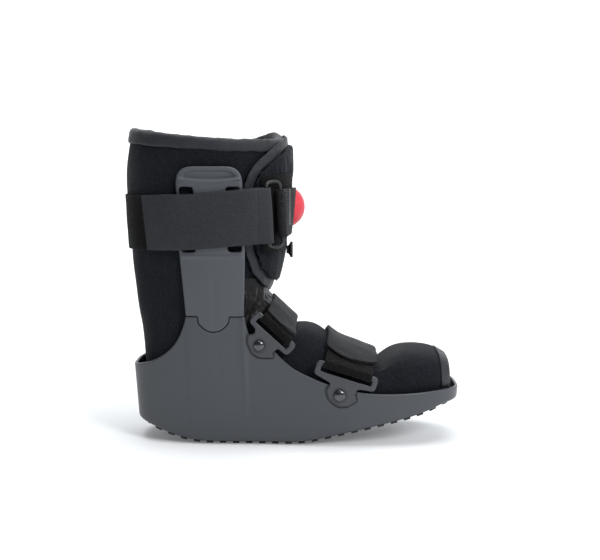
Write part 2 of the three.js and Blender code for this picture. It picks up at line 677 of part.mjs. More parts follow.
function ringAt(station) {
  const first = Math.min(LAST_RING - 1, Math.max(0, Math.floor(station)));
  const share = station - first;
  const [low, high] = [LINER_RINGS[first], LINER_RINGS[first + 1]];
  const lower = (ring, i) => {
    const point = place(ring.back);
    if (i >= FLOOR_RING) point.y = floorAt(point.x) + GAP;
    return point;
  };
  const front = place(low.front).lerp(place(high.front), share);
  const back = lower(low, first).lerp(lower(high, first + 1), share);
  const power = lerp(LEG_POWER, FOOT_POWER, clamp01(station / CREASE_RING));
  return { front, back, power };
}

// How far the liner's top edge departs from a plane, fading out by the next ring.
function topEdge(station, angle) {
  const fade = Math.min(1.5, Math.max(0, 1 - station));
  const turned = Math.atan2(Math.sin(angle - CORNER_TURN), Math.cos(angle - CORNER_TURN));
  const corner = CORNER_RISE * Math.exp(-((turned / CORNER_SPREAD) ** 2));
  return fade * (corner - TOP_SAG * Math.sin(angle) ** 2);
}

// Angle zero is the front or top, and positive angles turn to the far side.
function linerPoint(station, angle, offset) {
  const { front, back, power } = ringAt(station);
  const middle = front.clone().add(back).divideScalar(2);
  const spread = front.clone().sub(back);
  const half = spread.length() / 2 + offset;
  spread.normalize();
  const reach = half * signedPower(Math.cos(angle), 2 / power);
  const flat = middle.addScaledVector(spread, reach);
  const y = (sideHalf(flat.x, flat.y) + offset) * signedPower(Math.sin(angle), 2 / power);
  return new THREE.Vector3(flat.x, y, flat.y + topEdge(station, angle));
}

function linerRing(station, offset) {
  return Array.from({ length: RING_SEGMENTS }, (_, i) => (
    linerPoint(station, (2 * Math.PI * i) / RING_SEGMENTS, offset)));
}

function liner() {
  const outer = LINER_RINGS.map((_, i) => linerRing(i, 0));
  const innerStations = [0, 1, 3, 5, 7, 8.5, 10, 11, 14, 17, 21];
  const inner = innerStations.map((station) => linerRing(station, -LINER_WALL));
  return loft([...inner.reverse(), ...outer]);
}

// Angles of the liner's own facets between two limits, with the limits at the ends.
function facetAngles(from, to) {
  const step = (2 * Math.PI) / RING_SEGMENTS;
  const inside = [];
  for (let i = Math.ceil(from / step + 0.05); i * step < to - step * 0.05; i += 1) inside.push(i * step);
  return [from, ...inside, to];
}

// A layer over the liner between two stations, two angles and two offsets.
function layer(stations, from, to, inner, outer) {
  const sections = facetAngles(from, to).map((angle) => [
    ...stations.map((station) => linerPoint(station, angle, inner)),
    ...[...stations].reverse().map((station) => linerPoint(station, angle, outer)),
  ]);
  return loft(sections);
}

const TRIM_TOP = SOFT_GAP + TRIM_THICK;
const FLAP_UNDER = TRIM_TOP + SOFT_GAP;
const FLAP_OVER = FLAP_UNDER + FLAP_THICK;
const BACKING_UNDER = FLAP_OVER + SOFT_GAP + 0.1;
const BACKING_OVER = BACKING_UNDER + BACKING_THICK;

// A folded strip over the liner's top edge, closed round the leg.
function topBinding() {
  const down = TOP_BINDING_DEPTH / (up(LINER_RINGS[0].front[1]) - up(LINER_RINGS[1].front[1]));
  const over = (SOFT_GAP + TRIM_THICK) / (up(LINER_RINGS[0].front[1]) - up(LINER_RINGS[1].front[1]));
  const lip = SOFT_GAP / (up(LINER_RINGS[0].front[1]) - up(LINER_RINGS[1].front[1]));
  const sections = Array.from({ length: RING_SEGMENTS }, (_, i) => {
    const angle = (2 * Math.PI * i) / RING_SEGMENTS;
    return [
      linerPoint(down, angle, TRIM_TOP), linerPoint(-over * 0.6, angle, TRIM_TOP),
      linerPoint(-over, angle, -LINER_WALL / 2), linerPoint(-over * 0.6, angle, -LINER_WALL - TRIM_TOP),
      linerPoint(down, angle, -LINER_WALL - TRIM_TOP), linerPoint(down, angle, -LINER_WALL - SOFT_GAP),
      linerPoint(-lip, angle, -LINER_WALL - SOFT_GAP), linerPoint(-lip, angle, SOFT_GAP),
      linerPoint(down, angle, SOFT_GAP),
    ];
  });
  return loft(sections, true);
}

// Shin flap, its binding and the nylon under its lower end

const FLAP_STATIONS = [-0.4, 0, 1, 2, 3, 4, 5, 6, 7, 7.9];
const FACET = (2 * Math.PI) / RING_SEGMENTS;
const FLAP_ANGLE = 10 * FACET;

function flapRegion(inset) {
  const corners = FLAP_EDGE.map((p) => ({ x: along(p.along), z: up(p.high), corner: p.corner }));
  const sheared = new THREE.Matrix4().set(1, 0, 0, 0, 0, 1, 0, 0, 0, FLAP_TILT, 1, 0, 0, 0, 0, 1);
  const region = prism(rounded(grown(corners, -inset), 2), -SIDE, SIDE);
  return region.transform([...sheared.elements]);
}

function shinFlap() {
  const padding = layer(FLAP_STATIONS, -FLAP_ANGLE, FLAP_ANGLE, FLAP_UNDER, FLAP_OVER);
  return padding.intersect(flapRegion(FLAP_BINDING_WIDTH + SOFT_GAP));
}

function flapBinding() {
  const outer = FLAP_UNDER + FLAP_BINDING_THICK;
  const strip = layer(FLAP_STATIONS, -FLAP_ANGLE, FLAP_ANGLE, FLAP_UNDER, outer);
  return strip.intersect(flapRegion(0)).subtract(flapRegion(FLAP_BINDING_WIDTH));
}

const ankleTongue = () => layer([5.3, 6, 7, 8, 8.6], -6 * FACET, 6 * FACET, SOFT_GAP, TRIM_TOP);

function toeBinding() {
  const stations = [LAST_RING - TOE_BINDING_WIDTH, LAST_RING - 1, LAST_RING - 0.05];
  return layer(stations, -8 * FACET, 8 * FACET, SOFT_GAP, TRIM_TOP);
}

// Calf strap: through both struts' windows, round the back, and folded back over itself at the ring

// The point on the liner at an angle where the strap's line at a height from its middle passes.
function calfPoint(angle, height, offset) {
  const error = (station) => {
    const p = linerPoint(station, angle, offset);
    return calfLine(p.x) + height - p.z;
  };
  return linerPoint(solve(0, 6, error), angle, offset);
}

function calfPointAtX(x, height, offset, side) {
  const angle = solve(0.02, 3.1, (a) => calfPoint(a, height, offset).x - x);
  return calfPoint(side * angle, height, offset);
}

const CALF_ROWS = [-0.5, -0.17, 0.17, 0.5].map((share) => share * CALF_WIDTH);
const LAYER_OUT = SOFT_GAP + STRAP_THICK; // outer face of the strap's inner layer on the liner
const FLAP_RIDE = BACKING_OVER + 1.5 * SOFT_GAP + STRAP_THICK; // the same on the flap

function ringFrame() {
  const centre = calfPointAtX(RING_X, 0, FLAP_RIDE, -1);
  const ahead = calfPointAtX(RING_X + 4, 0, FLAP_RIDE, -1);
  const behind = calfPointAtX(RING_X - 4, 0, FLAP_RIDE, -1);
  const run = ahead.clone().sub(behind).normalize();
  const rise = new THREE.Vector3(0, 0, 1).addScaledVector(run, -run.z).normalize();
  const out = run.clone().cross(rise).normalize();
  const at = (a, b, c) => centre.clone().addScaledVector(run, a).addScaledVector(rise, b)
    .addScaledVector(out, c + RING_WIRE / 2 + FOLD_ROOM);
  return { at };
}

const RING_BAR = (RING_WIDTH - RING_WIRE) / 2;

function calfRing() {
  const { at } = ringFrame();
  const [w, h] = [RING_BAR, (RING_HEIGHT - RING_WIRE) / 2];
  const path = rounded([
    { x: -w, z: -h, corner: 6 }, { x: w, z: -h, corner: 6 }, { x: w, z: h, corner: 6 }, { x: -w, z: h, corner: 6 },
  ], 4);
  const clean = path.filter((p, i) => p.distanceTo(path[(i + 1) % path.length]) > 0.01);
  const sections = clean.map((p, i) => {
    const last = clean[(i + clean.length - 1) % clean.length];
    const next = clean[(i + 1) % clean.length];
    const run = next.clone().sub(last).normalize();
    return Array.from({ length: 6 }, (_, k) => {
      const turn = (2 * Math.PI * (k + 0.5)) / 6;
      const side = (Math.cos(turn) * RING_WIRE) / 2;
      return at(p.x + run.y * side, p.y - run.x * side, (Math.sin(turn) * RING_WIRE) / 2);
    });
  });
  return loft(sections, true);
}

// Stops of the inner layer's outer face along one side, from the back to the flap.
function threadedSide(height, side) {
  const axis = strutAxis(CALF_AT_STRUT + height);
  const [bar, window] = [CENTRE_BAR / 2, CENTRE_BAR / 2 + WINDOW_WIDTH];
  const edge = STRUT_TOP_HALF;
  const stop = (x, depth) => {
    const p = calfPointAtX(x, height, LAYER_OUT, side);
    return new THREE.Vector3(x, side * (uprightFace(x, p.z) + depth), p.z);
  };
  const [over, under] = [FIELD_RISE + SOFT_GAP + STRAP_THICK, -STRUT_THICK - SOFT_GAP];
  return [
    stop(axis - edge - 1.5, over), stop(axis - window - 0.2, over),
    stop(axis - bar - 1.2, under), stop(axis, under), stop(axis + bar + 1.2, under),
    stop(axis + window + 0.2, over), stop(axis + edge + 1.5, over),
  ];
}

function calfStrap() {
  const { at } = ringFrame();
  const rows = CALF_ROWS.map((height) => {
    const flapRun = (side, from, to, ride, count) => Array.from({ length: count }, (_, i) => (
      calfPointAtX(lerp(from, to, i / (count - 1)), height, ride, side)));
    const frontOfStrut = STRUT_TOP_X + STRUT_TOP_HALF + 9;
    const backAngles = facetAngles(1.95, 2 * Math.PI - 1.95);
    const round = backAngles.map((angle) => calfPoint(angle, height, LAYER_OUT));
    const fold = [-0.5, -0.25, 0, 0.25, 0.5, 0.65].map((turn) => {
      const radius = RING_WIRE / 2 + FOLD_ROOM;
      const angle = turn * Math.PI;
      return at(-RING_BAR + radius * Math.cos(angle), height, radius * Math.sin(angle));
    });
    const endX = CALF_END_X - CALF_END_SLANT * height;
    const axis = strutAxis(CALF_AT_STRUT + height);
    const lift = 2 * SOFT_GAP + STRAP_THICK;
    const overStrut = [1.3, 0.6, 0, -0.6, -1.1].map((share) => {
      const x = axis + share * STRUT_TOP_HALF;
      const p = calfPointAtX(x, height, LAYER_OUT, -1);
      return new THREE.Vector3(x, -(uprightFace(x, p.z) + FIELD_RISE + lift), p.z);
    });
    return [
      ...flapRun(1, RING_X, frontOfStrut, FLAP_RIDE, 3), ...threadedSide(height, 1).reverse(),
      ...round, ...threadedSide(height, -1), ...flapRun(-1, frontOfStrut, RING_X - 11, FLAP_RIDE, 3),
      ...fold, ...flapRun(-1, RING_X - 14, frontOfStrut + 4, FLAP_RIDE + lift + 0.5, 2), ...overStrut,
      ...flapRun(-1, axis - 1.6 * STRUT_TOP_HALF, endX, LAYER_OUT + SOFT_GAP, 3),
    ];
  });
  const grid = rows[0].map((_, i) => rows.map((row) => row[i]));
  return sheet(grid, -STRAP_THICK);
}

// The webbing lies on the backing, passes under the ring's front bar and folds back over it.
function ringWebbing() {
  const { at } = ringFrame();
  const under = BACKING_OVER + SOFT_GAP + WEBBING_THICK;
  const rows = [-0.5, 0, 0.5].map((share) => {
    const height = share * WEBBING_WIDTH;
    const endAngle = -solve(0.02, 1.2, (a) => calfPoint(a, height, under).y - WEBBING_END_Y);
    const startAngle = -solve(0.02, 3.1, (a) => calfPoint(a, height, under).x - RING_X - 11);
    const lying = [0, 0.5, 1].map((t) => calfPoint(lerp(endAngle, startAngle, t), height, under));
    const fold = [-0.5, -0.25, 0, 0.25, 0.5, 0.65].map((turn) => {
      const radius = RING_WIRE / 2 + FOLD_ROOM;
      const angle = turn * Math.PI;
      return at(RING_BAR - radius * Math.cos(angle), height, radius * Math.sin(angle));
    });
    const back = [0.8, 0.4, 0].map((t) => (
      calfPoint(lerp(endAngle, startAngle, t), height, under + SOFT_GAP + t * 2.5)));
    return [...lying, ...fold, ...back];
  });
  const grid = rows[0].map((_, i) => rows.map((row) => row[i]));
  return sheet(grid, WEBBING_THICK);
}

function strapBacking() {
  const margin = CALF_WIDTH / 2 + BACKING_MARGIN;
  const rows = [-margin, ...CALF_ROWS, margin].map((height) => {
    const from = -solve(0.02, 3.1, (a) => calfPoint(a, height, BACKING_UNDER).x - RING_X + RING_WIDTH / 2);
    const to = -solve(0.02, 1.2, (a) => calfPoint(a, height, BACKING_UNDER).y - WEBBING_END_Y + 1);
    return [0, 0.2, 0.4, 0.6, 0.8, 1].map((t) => (
      calfPoint(lerp(from, to, t), height, BACKING_UNDER)));
  });
  const grid = rows[0].map((_, i) => rows.map((row) => row[i]));
  return sheet(grid, BACKING_THICK);
}

// Foot straps: pulled tight over the liner from bracket to bracket

// The upper side of the tightest line round points given as across and high.
function tightLine(points) {
  const sorted = [...points].sort((a, b) => a.x - b.x);
  const line = [];
  for (const p of sorted) {
    while (line.length > 1) {
      const [a, b] = line.slice(-2);
      const turn = (b.x - a.x) * (p.y - a.y) - (b.y - a.y) * (p.x - a.x);
      if (turn < 0) break;
      line.pop();
    }
    line.push(p);
  }
  return line;
}

function resample(points, count, from = 0, to = 0) {
  const lengths = [0];
  points.slice(1).forEach((p, i) => lengths.push(lengths[i] + p.distanceTo(points[i])));
  const total = lengths[lengths.length - 1];
  return Array.from({ length: count }, (_, k) => {
    const target = lerp(from, total - to, k / (count - 1));
    let i = 1;
    while (i < lengths.length - 1 && lengths[i] < target) i += 1;
    const share = (target - lengths[i - 1]) / (lengths[i] - lengths[i - 1]);
    return points[i - 1].clone().lerp(points[i], share);
  });
}

const STRAP_BASE = TRIM_TOP + 2 * SOFT_GAP;

// One line over the foot, from the far bar's outer face to the near one's, at a place along the slot.
function overFoot(kind, reach, extra) {
  const { start, run, rise, at } = bracketFrame(kind);
  const lean = (kind.drift * reach) / kind.slotLong;
  const reachAt = (y) => reach - lean * Math.max(0, 1 - (y / FORE_HALF) ** 2);
  const section = facetAngles(-2.2, 2.2).map((angle) => {
    const error = (station) => {
      const p = linerPoint(station, angle, STRAP_BASE);
      return (p.x - start.x) * run.x + (p.z - start.y) * run.y - reachAt(p.y);
    };
    const p = linerPoint(solve(CREASE_RING - 1, LAST_RING, error), angle, STRAP_BASE);
    return new THREE.Vector2(p.y, (p.x - start.x) * rise.x + (p.z - start.y) * rise.y);
  });
  const barTop = SLOT_HIGH + BAR_HIGH;
  const bar = at(reach, barTop);
  const across = shellHalf(bar.x, bar.y, BRACKET_BACK + BRACKET_THICK) + SOFT_GAP;
  const above = section.filter((p) => p.y > barTop + 1);
  const tight = tightLine([new THREE.Vector2(-across, barTop), ...above, new THREE.Vector2(across, barTop)]);
  const even = resample(tight, 24);
  const last = even.length - 1;
  const line = even.map((p, i) => {
    const tangent = even[Math.min(i + 1, last)].clone().sub(even[Math.max(i - 1, 0)]).normalize();
    return p.clone().add(new THREE.Vector2(-tangent.y, tangent.x).multiplyScalar(extra));
  });
  const lift = (p) => {
    const flat = at(reachAt(p.x), p.y);
    return new THREE.Vector3(flat.x, p.x, flat.y);
  };
  return { line, lift };
}

// The strap's end goes down outside the bar, through the slot and up inside it.
function hookPoints(kind, reach, side) {
  const { at } = bracketFrame(kind);
  const level = (high, depth) => {
    const flat = at(reach, high);
    return new THREE.Vector3(flat.x, side * (shellHalf(flat.x, flat.y, BRACKET_BACK) + depth), flat.y);
  };
  const under = SLOT_HIGH - SOFT_GAP;
  const [outside, inside] = [BRACKET_THICK + SOFT_GAP, -SOFT_GAP];
  return [
    level(SLOT_HIGH + BAR_HIGH / 2, outside), level(under + FOLD_CORNER, outside),
    level(under, outside - FOLD_CORNER), level(under, inside + FOLD_CORNER),
    level(under + FOLD_CORNER, inside), level(SLOT_HIGH + BAR_HIGH, inside),
  ];
}

function footBand(kind) {
  const margin = (kind.slotLong - kind.bandWidth) / 2;
  const rows = kind.rows.map((share) => {
    const reach = margin + share * kind.bandWidth;
    const { line, lift } = overFoot(kind, reach, 0);
    return [
      ...hookPoints(kind, reach, -1).reverse(), ...resample(line, 12).map(lift),
      ...hookPoints(kind, reach, 1),
    ];
  });
  const grid = rows[0].map((_, i) => rows.map((row) => row[i]));
  return sheet(grid, -BAND_THICK);
}

function footCover(kind) {
  const margin = (kind.slotLong - kind.coverWidth) / 2;
  const rows = kind.rows.map((share) => {
    const reach = margin + share * kind.coverWidth;
    const { line, lift } = overFoot(kind, reach, BAND_THICK + COVER_ROOM);
    const spread = 2 * share - 1;
    const drop = kind.coverDrop - SLOT_HIGH - BAR_HIGH + kind.tongue * (1 - Math.sqrt(1 - spread ** 2 * 0.96));
    return resample(line, 11, drop, drop).map(lift);
  });
  const grid = rows[0].map((_, i) => rows.map((row) => row[i]));
  return sheet(grid, -COVER_THICK);
}

// Bulb and valve on the flap's front

function onFlapFront(profile, level, segments) {
  const radius = Math.max(...profile.map(([r]) => r));
  const seats = [level - radius, level, level + radius].map((height) => {
    const error = (station) => height - linerPoint(station, 0, FLAP_OVER).z;
    return linerPoint(solve(0, 6, error), 0, FLAP_OVER).x;
  });
  const geometry = new THREE.LatheGeometry(profile.map(([r, h]) => new THREE.Vector2(r, h)), segments);
  geometry.rotateZ(-Math.PI / 2).translate(Math.max(...seats) + GAP, 0, level);
  return toSolid(geometry);
}

function pumpBulb() {
  const [r, h] = [BULB_RADIUS, BULB_HIGH];
  const profile = [
    [0, 0], [r, 0], [r, h * 0.16], [r * 0.93, h * 0.4], [r * 0.78, h * 0.68], [r * 0.5, h * 0.9],
    [r * 0.2, h], [0, h],
  ];
  return onFlapFront(profile, BULB_LEVEL, 18);
}

function releaseValve() {
  const [r, h] = [VALVE_RADIUS, VALVE_HIGH];
  const profile = [
    [0, 0], [r * 0.5, 0], [r * 0.5, h * 0.25], [r * 0.85, h * 0.55], [r, h * 0.6], [r, h * 0.95],
    [r * 0.9, h], [0, h],
  ];
  return onFlapFront(profile, VALVE_LEVEL, 12);
}

// Assembly

const boot = new THREE.Group();
const addPair = (name, solid, finish) => {
  boot.add(toMesh(`${name}_far`, solid, finish));
  boot.add(toMesh(`${name}_near`, mirrorSide(solid), finish));
};

boot.add(toMesh('outsole', outsole(), soleBlack));
boot.add(toMesh('shell', shell(), shellGrey));
addPair('strut', strut(), strutGrey);
for (const kind of [INSTEP, FOREFOOT]) {
  addPair(`${kind.name}_bracket`, bracket(kind), bracketGrey);
  addPair(`${kind.name}_rivet`, rivet(kind), nickel);
  boot.add(toMesh(`${kind.name}_band`, footBand(kind), loopBlack));
  boot.add(toMesh(`${kind.name}_cover`, footCover(kind), strapGrey));
}
boot.add(toMesh('liner', liner(), linerBlack));
boot.add(toMesh('top_binding', topBinding(), bindingGrey));
boot.add(toMesh('toe_binding', toeBinding(), bindingGrey));
boot.add(toMesh('ankle_tongue', ankleTongue(), nylonBlack));
boot.add(toMesh('shin_flap', shinFlap(), linerBlack));
boot.add(toMesh('flap_binding', flapBinding(), bindingGrey));
boot.add(toMesh('strap_backing', strapBacking(), loopBlack));
boot.add(toMesh('calf_ring', calfRing(), knobBlack));
boot.add(toMesh('ring_webbing', ringWebbing(), nylonBlack));
boot.add(toMesh('calf_strap', calfStrap(), strapGrey));
boot.add(toMesh('pump_bulb', pumpBulb(), bulbRed));
boot.add(toMesh('release_valve', releaseValve(), knobBlack));

export default boot;
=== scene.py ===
# %% [markdown]
# # Short air-cell walking boot
#
# A grey moulded shell on a black rocker sole carries two upright struts. Inside stands a padded
# bootie with a padded shin flap over its front, held by one strap at the calf and two over the foot.
# The plastic is built again here from its own measures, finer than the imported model. The soft goods
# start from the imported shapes, are rounded and filled, and get their cloth.

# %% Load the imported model
import math

import bmesh
import bpy
import numpy as np
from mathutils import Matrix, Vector, noise
from mathutils.bvhtree import BVHTree


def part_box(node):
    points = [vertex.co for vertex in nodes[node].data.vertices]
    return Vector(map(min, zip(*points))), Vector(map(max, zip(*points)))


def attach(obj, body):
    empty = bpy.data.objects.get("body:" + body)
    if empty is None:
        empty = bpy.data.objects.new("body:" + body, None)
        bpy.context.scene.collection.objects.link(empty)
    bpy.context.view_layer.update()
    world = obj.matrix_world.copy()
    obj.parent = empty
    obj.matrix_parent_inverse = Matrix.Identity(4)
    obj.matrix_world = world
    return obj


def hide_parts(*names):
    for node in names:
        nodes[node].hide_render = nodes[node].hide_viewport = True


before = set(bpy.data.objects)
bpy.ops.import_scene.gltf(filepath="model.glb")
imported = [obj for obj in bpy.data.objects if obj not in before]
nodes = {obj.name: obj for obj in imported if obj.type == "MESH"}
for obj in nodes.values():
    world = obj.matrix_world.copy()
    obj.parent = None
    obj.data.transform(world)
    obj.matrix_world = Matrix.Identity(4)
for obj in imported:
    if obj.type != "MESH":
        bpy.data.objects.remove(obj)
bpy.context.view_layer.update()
scene = bpy.context.scene
MM = 0.001
print("nodes", len(nodes))

# %% [markdown]
# ## Camera, floor and light
#
# The photograph looks square at the boot's outer side from a little above, with a long lens.
# The boot stands on a white sweep that rises behind it, under large soft lamps.

# %% Camera and studio
camera = bpy.data.objects.new("camera", bpy.data.cameras.new("camera"))
scene.collection.objects.link(camera)
camera.location = (0.0465, -1.1, 0.27)
camera.rotation_euler = (math.radians(90 - 6.471), 0, 0)
camera.data.lens = 70.98
camera.data.sensor_width = 36
scene.camera = camera

scene.view_settings.view_transform = "Standard"
world = bpy.data.worlds.new("studio")
scene.world = world
world.use_nodes = True
world.node_tree.nodes["Background"].inputs["Color"].default_value = (1, 1, 1, 1)
world.node_tree.nodes["Background"].inputs["Strength"].default_value = 0.2


SWEEP_FRONT, SWEEP_FLAT, SWEEP_BEND, SWEEP_TOP, SWEEP_HALF = -4, 1.4, 0.9, 3, 3


def studio_sweep():
    """A white sheet that lies under the boot and curves up behind it."""
    turns = np.linspace(0, math.pi / 2, 17)
    arc = [(SWEEP_FLAT + SWEEP_BEND * math.sin(a), SWEEP_BEND - SWEEP_BEND * math.cos(a)) for a in turns]
    line = [(SWEEP_FRONT, 0), (0, 0), *arc, (SWEEP_FLAT + SWEEP_BEND, SWEEP_TOP)]
    points = [(side * SWEEP_HALF, y, z) for y, z in line for side in (-1, 1)]
    faces = [(2 * i, 2 * i + 1, 2 * i + 3, 2 * i + 2) for i in range(len(line) - 1)]
    mesh = bpy.data.meshes.new("studio_sweep")
    mesh.from_pydata(points, [], faces)
    mesh.shade_smooth()
    sweep = bpy.data.objects.new("studio_sweep", mesh)
    scene.collection.objects.link(sweep)
    return sweep


floor = studio_sweep()


def softbox(name, place, target, size, power):
    """A rectangular lamp at a place, aimed at a target."""
    lamp = bpy.data.objects.new(name, bpy.data.lights.new(name, "AREA"))
    lamp.data.shape = "RECTANGLE"
    lamp.data.size, lamp.data.size_y = size
    lamp.data.energy = power
    lamp.location = place
    lamp.rotation_euler = (Vector(target) - Vector(place)).to_track_quat("-Z", "Y").to_euler()
    scene.collection.objects.link(lamp)


softbox("key", (1.0, -1.35, 1.1), (0.03, 0, 0.12), (0.6, 0.6), 22)
softbox("side", (1.5, -0.2, 0.7), (0.05, 0, 0.1), (0.6, 1.0), 5)
softbox("top", (0.05, 0.1, 1.8), (0, 0, 0.1), (1.8, 1.4), 32)
print("camera at", tuple(camera.location))

# %% [markdown]
# ## Finishes
#
# Every finish is worked out from noise in the piece's own coordinates, so it needs no picture.
# A small class lets the shader sums read like ordinary sums.


# %% A class for shader sums
class Value:
    """One varying number in a material, which takes part in sums."""

    def __init__(self, finish, socket):
        self.finish = finish
        self.socket = socket

    def sum(self, operation, first, second):
        node = self.finish.node("ShaderNodeMath", {"operation": operation}, {0: first, 1: second})
        return Value(self.finish, node.outputs[0])

    def __add__(self, other):
        return self.sum("ADD", self, other)

    def __radd__(self, other):
        return self.sum("ADD", other, self)

    def __sub__(self, other):
        return self.sum("SUBTRACT", self, other)

    def __rsub__(self, other):
        return self.sum("SUBTRACT", other, self)

    def __mul__(self, other):
        return self.sum("MULTIPLY", self, other)

    def __rmul__(self, other):
        return self.sum("MULTIPLY", other, self)

    def __pow__(self, other):
        return self.sum("POWER", self, other)


class Finish:
    """A material whose nodes are made in one line each."""

    def __init__(self, name, **constants):
        self.material = bpy.data.materials.new(name)
        self.material.use_nodes = True
        self.tree = self.material.node_tree
        self.shader = self.tree.nodes["Principled BSDF"]
        for key, value in constants.items():
            self.shader.inputs[key.replace("_", " ")].default_value = value

    def put(self, socket, value):
        if isinstance(value, Value):
            self.tree.links.new(value.socket, socket)
        elif hasattr(value, "is_output"):
            self.tree.links.new(value, socket)
        else:
            socket.default_value = value

    def node(self, kind, settings, values):
        node = self.tree.nodes.new(kind)
        for key, value in settings.items():
            setattr(node, key, value)
        for key, value in values.items():
            self.put(node.inputs[key], value)
        return node

    def place(self, stretch=(1, 1, 1)):
        here = self.node("ShaderNodeTexCoord", {}, {}).outputs["Object"]
        return self.node("ShaderNodeMapping", {}, {"Vector": here, "Scale": stretch}).outputs[0]

    def noise(self, scale, detail=3, rough=0.55, stretch=(1, 1, 1)):
        values = {"Vector": self.place(stretch), "Scale": scale, "Detail": detail, "Roughness": rough}
        return Value(self, self.node("ShaderNodeTexNoise", {}, values).outputs[0])

    def cells(self, scale, stretch=(1, 1, 1)):
        values = {"Vector": self.place(stretch), "Scale": scale}
        return Value(self, self.node("ShaderNodeTexVoronoi", {}, values).outputs["Distance"])

    def ramp(self, value, low, high, to_low=0, to_high=1):
        values = {"Value": value, "From Min": low, "From Max": high, "To Min": to_low, "To Max": to_high}
        return Value(self, self.node("ShaderNodeMapRange", {"clamp": True}, values).outputs[0])

    def edges(self, low=0.52, high=0.62):
        worn = self.node("ShaderNodeNewGeometry", {}, {}).outputs["Pointiness"]
        return self.ramp(Value(self, worn), low, high)

    def mix(self, share, first, second):
        node = self.node("ShaderNodeMix", {"data_type": "RGBA"}, {0: share, 6: first, 7: second})
        return node.outputs[2]

    def colour(self, value):
        self.put(self.shader.inputs["Base Color"], value)

    def rough(self, value):
        self.put(self.shader.inputs["Roughness"], value)

    def relief(self, height, depth, strength=1):
        values = {"Height": height, "Distance": depth, "Strength": strength}
        bump = self.node("ShaderNodeBump", {}, values)
        self.put(self.shader.inputs["Normal"], bump.outputs[0])


def srgb(red, green, blue, lift=1):
    """A screen colour as linear light, made lighter or darker by a factor."""
    shares = [value / 255 for value in (red, green, blue)]
    linear = [share / 12.92 if share < 0.0404 else ((share + 0.055) / 1.055) ** 2.4 for share in shares]
    return (*[value * lift for value in linear], 1)


# %% Finishes of the hard parts
def plastic(name, colour, gloss=0.42, grain=1100):
    """Moulded plastic: fine grain, faint cloudiness and lighter rubbed edges."""
    finish = Finish(name, Specular_IOR_Level=0.45, Coat_Roughness=0.3)
    clouds = finish.noise(28, 4)
    plain = finish.mix(clouds, srgb(*colour, 0.5), srgb(*colour, 0.68))
    finish.colour(finish.mix(finish.edges() * finish.noise(160, 3), plain, srgb(*colour, 1.15)))
    finish.rough(finish.ramp(clouds, 0.3, 0.7, gloss - 0.05, gloss + 0.09))
    finish.relief(finish.noise(grain, 2), 0.00006, 0.6)
    return finish.material


def rubber(name, colour, gloss, grain, depth, sheen=0.0):
    """Matt rubber with a little dust on it."""
    finish = Finish(name, Specular_IOR_Level=0.35, Sheen_Weight=sheen, Sheen_Roughness=0.5)
    dust = finish.ramp(finish.noise(60, 6, 0.7), 0.45, 0.75)
    finish.colour(finish.mix(dust, srgb(*colour), srgb(*[min(255, c + 18) for c in colour])))
    finish.rough(finish.ramp(finish.noise(90, 4), 0.3, 0.7, gloss - 0.07, gloss + 0.08))
    finish.relief(finish.noise(grain, 3), depth, 0.7)
    return finish.material


def metal(name, colour):
    """Polished metal, slightly tarnished."""
    finish = Finish(name, Metallic=1.0)
    tarnish = finish.ramp(finish.noise(500, 4), 0.4, 0.7)
    finish.colour(finish.mix(tarnish, srgb(*colour), srgb(*colour, 0.7)))
    finish.rough(finish.ramp(finish.noise(900, 3), 0.3, 0.7, 0.14, 0.3))
    finish.relief(finish.noise(700, 2), 0.00004, 0.5)
    return finish.material


SHELL_PLASTIC = plastic("shell_plastic", (78, 82, 88))
STRUT_PLASTIC = plastic("strut_plastic", (88, 93, 100), gloss=0.46)
BRACKET_PLASTIC = plastic("bracket_plastic", (72, 75, 81), gloss=0.4)
KNOB_PLASTIC = plastic("knob_plastic", (28, 29, 32), gloss=0.34)
SOLE_RUBBER = rubber("sole_rubber", (46, 48, 51), 0.8, 1500, 0.0001)
BULB_RUBBER = rubber("bulb_rubber", (196, 42, 56), 0.5, 900, 0.00005, sheen=0.15)
RIVET_METAL = metal("rivet_metal", (92, 93, 96))


# %% Finishes of the cloths
def cloth(name, dark, light, grain=1300, share=(0.52, 0.66), depth=0.00035, sheen=0.25, rough=0.92,
          stretch=(1, 1, 1), cloudy=0.25):
    """Knitted or woven cloth: speckled yarn tips over darker gaps, and slow changes of tone."""
    finish = Finish(name, Specular_IOR_Level=0.2, Sheen_Weight=sheen, Sheen_Roughness=0.45)
    yarn = finish.noise(grain, 2, 0.6, stretch)
    tips = finish.ramp(yarn, *share)
    clouds = finish.ramp(finish.noise(22, 4), 0.3, 0.7)
    base = finish.mix(tips, srgb(*dark), srgb(*light))
    finish.colour(finish.mix(clouds * cloudy, base, srgb(*light)))
    finish.rough(finish.ramp(tips, 0, 1, rough, rough - 0.12))
    finish.relief(yarn + finish.cells(grain * 0.7, stretch) * 0.5, depth, 0.8)
    return finish.material


LINER_CLOTH = cloth(
    "liner_fabric", (7, 10, 15), (24, 30, 40), grain=1000, depth=0.0005, sheen=0.06, cloudy=0.12)
STRAP_CLOTH = cloth(
    "strap_fabric", (35, 37, 41), (54, 56, 61), grain=1900, depth=0.00012, rough=0.75, sheen=0.06)
# The strap fabric again, made darker as painted shade to offset the top light on the upward-facing covers.
STRAP_CLOTH_PAINTED_SHADE = cloth(
    "strap_fabric_painted_shade", (22, 23, 26), (36, 37, 41), grain=1900, depth=0.00012, rough=0.75, sheen=0.05)
LOOP_CLOTH = cloth(
    "loop_fabric", (2, 2, 3), (22, 23, 25), grain=900, share=(0.56, 0.74), depth=0.0008, sheen=0.04,
    cloudy=0.08)
BINDING_CLOTH = cloth(
    "binding_fabric", (32, 34, 38), (50, 53, 58), grain=2200, depth=0.0001, rough=0.55, sheen=0.1)
NYLON_CLOTH = cloth(
    "nylon_fabric", (5, 5, 6), (14, 15, 17), grain=2600, depth=0.00005, rough=0.42, sheen=0.02)
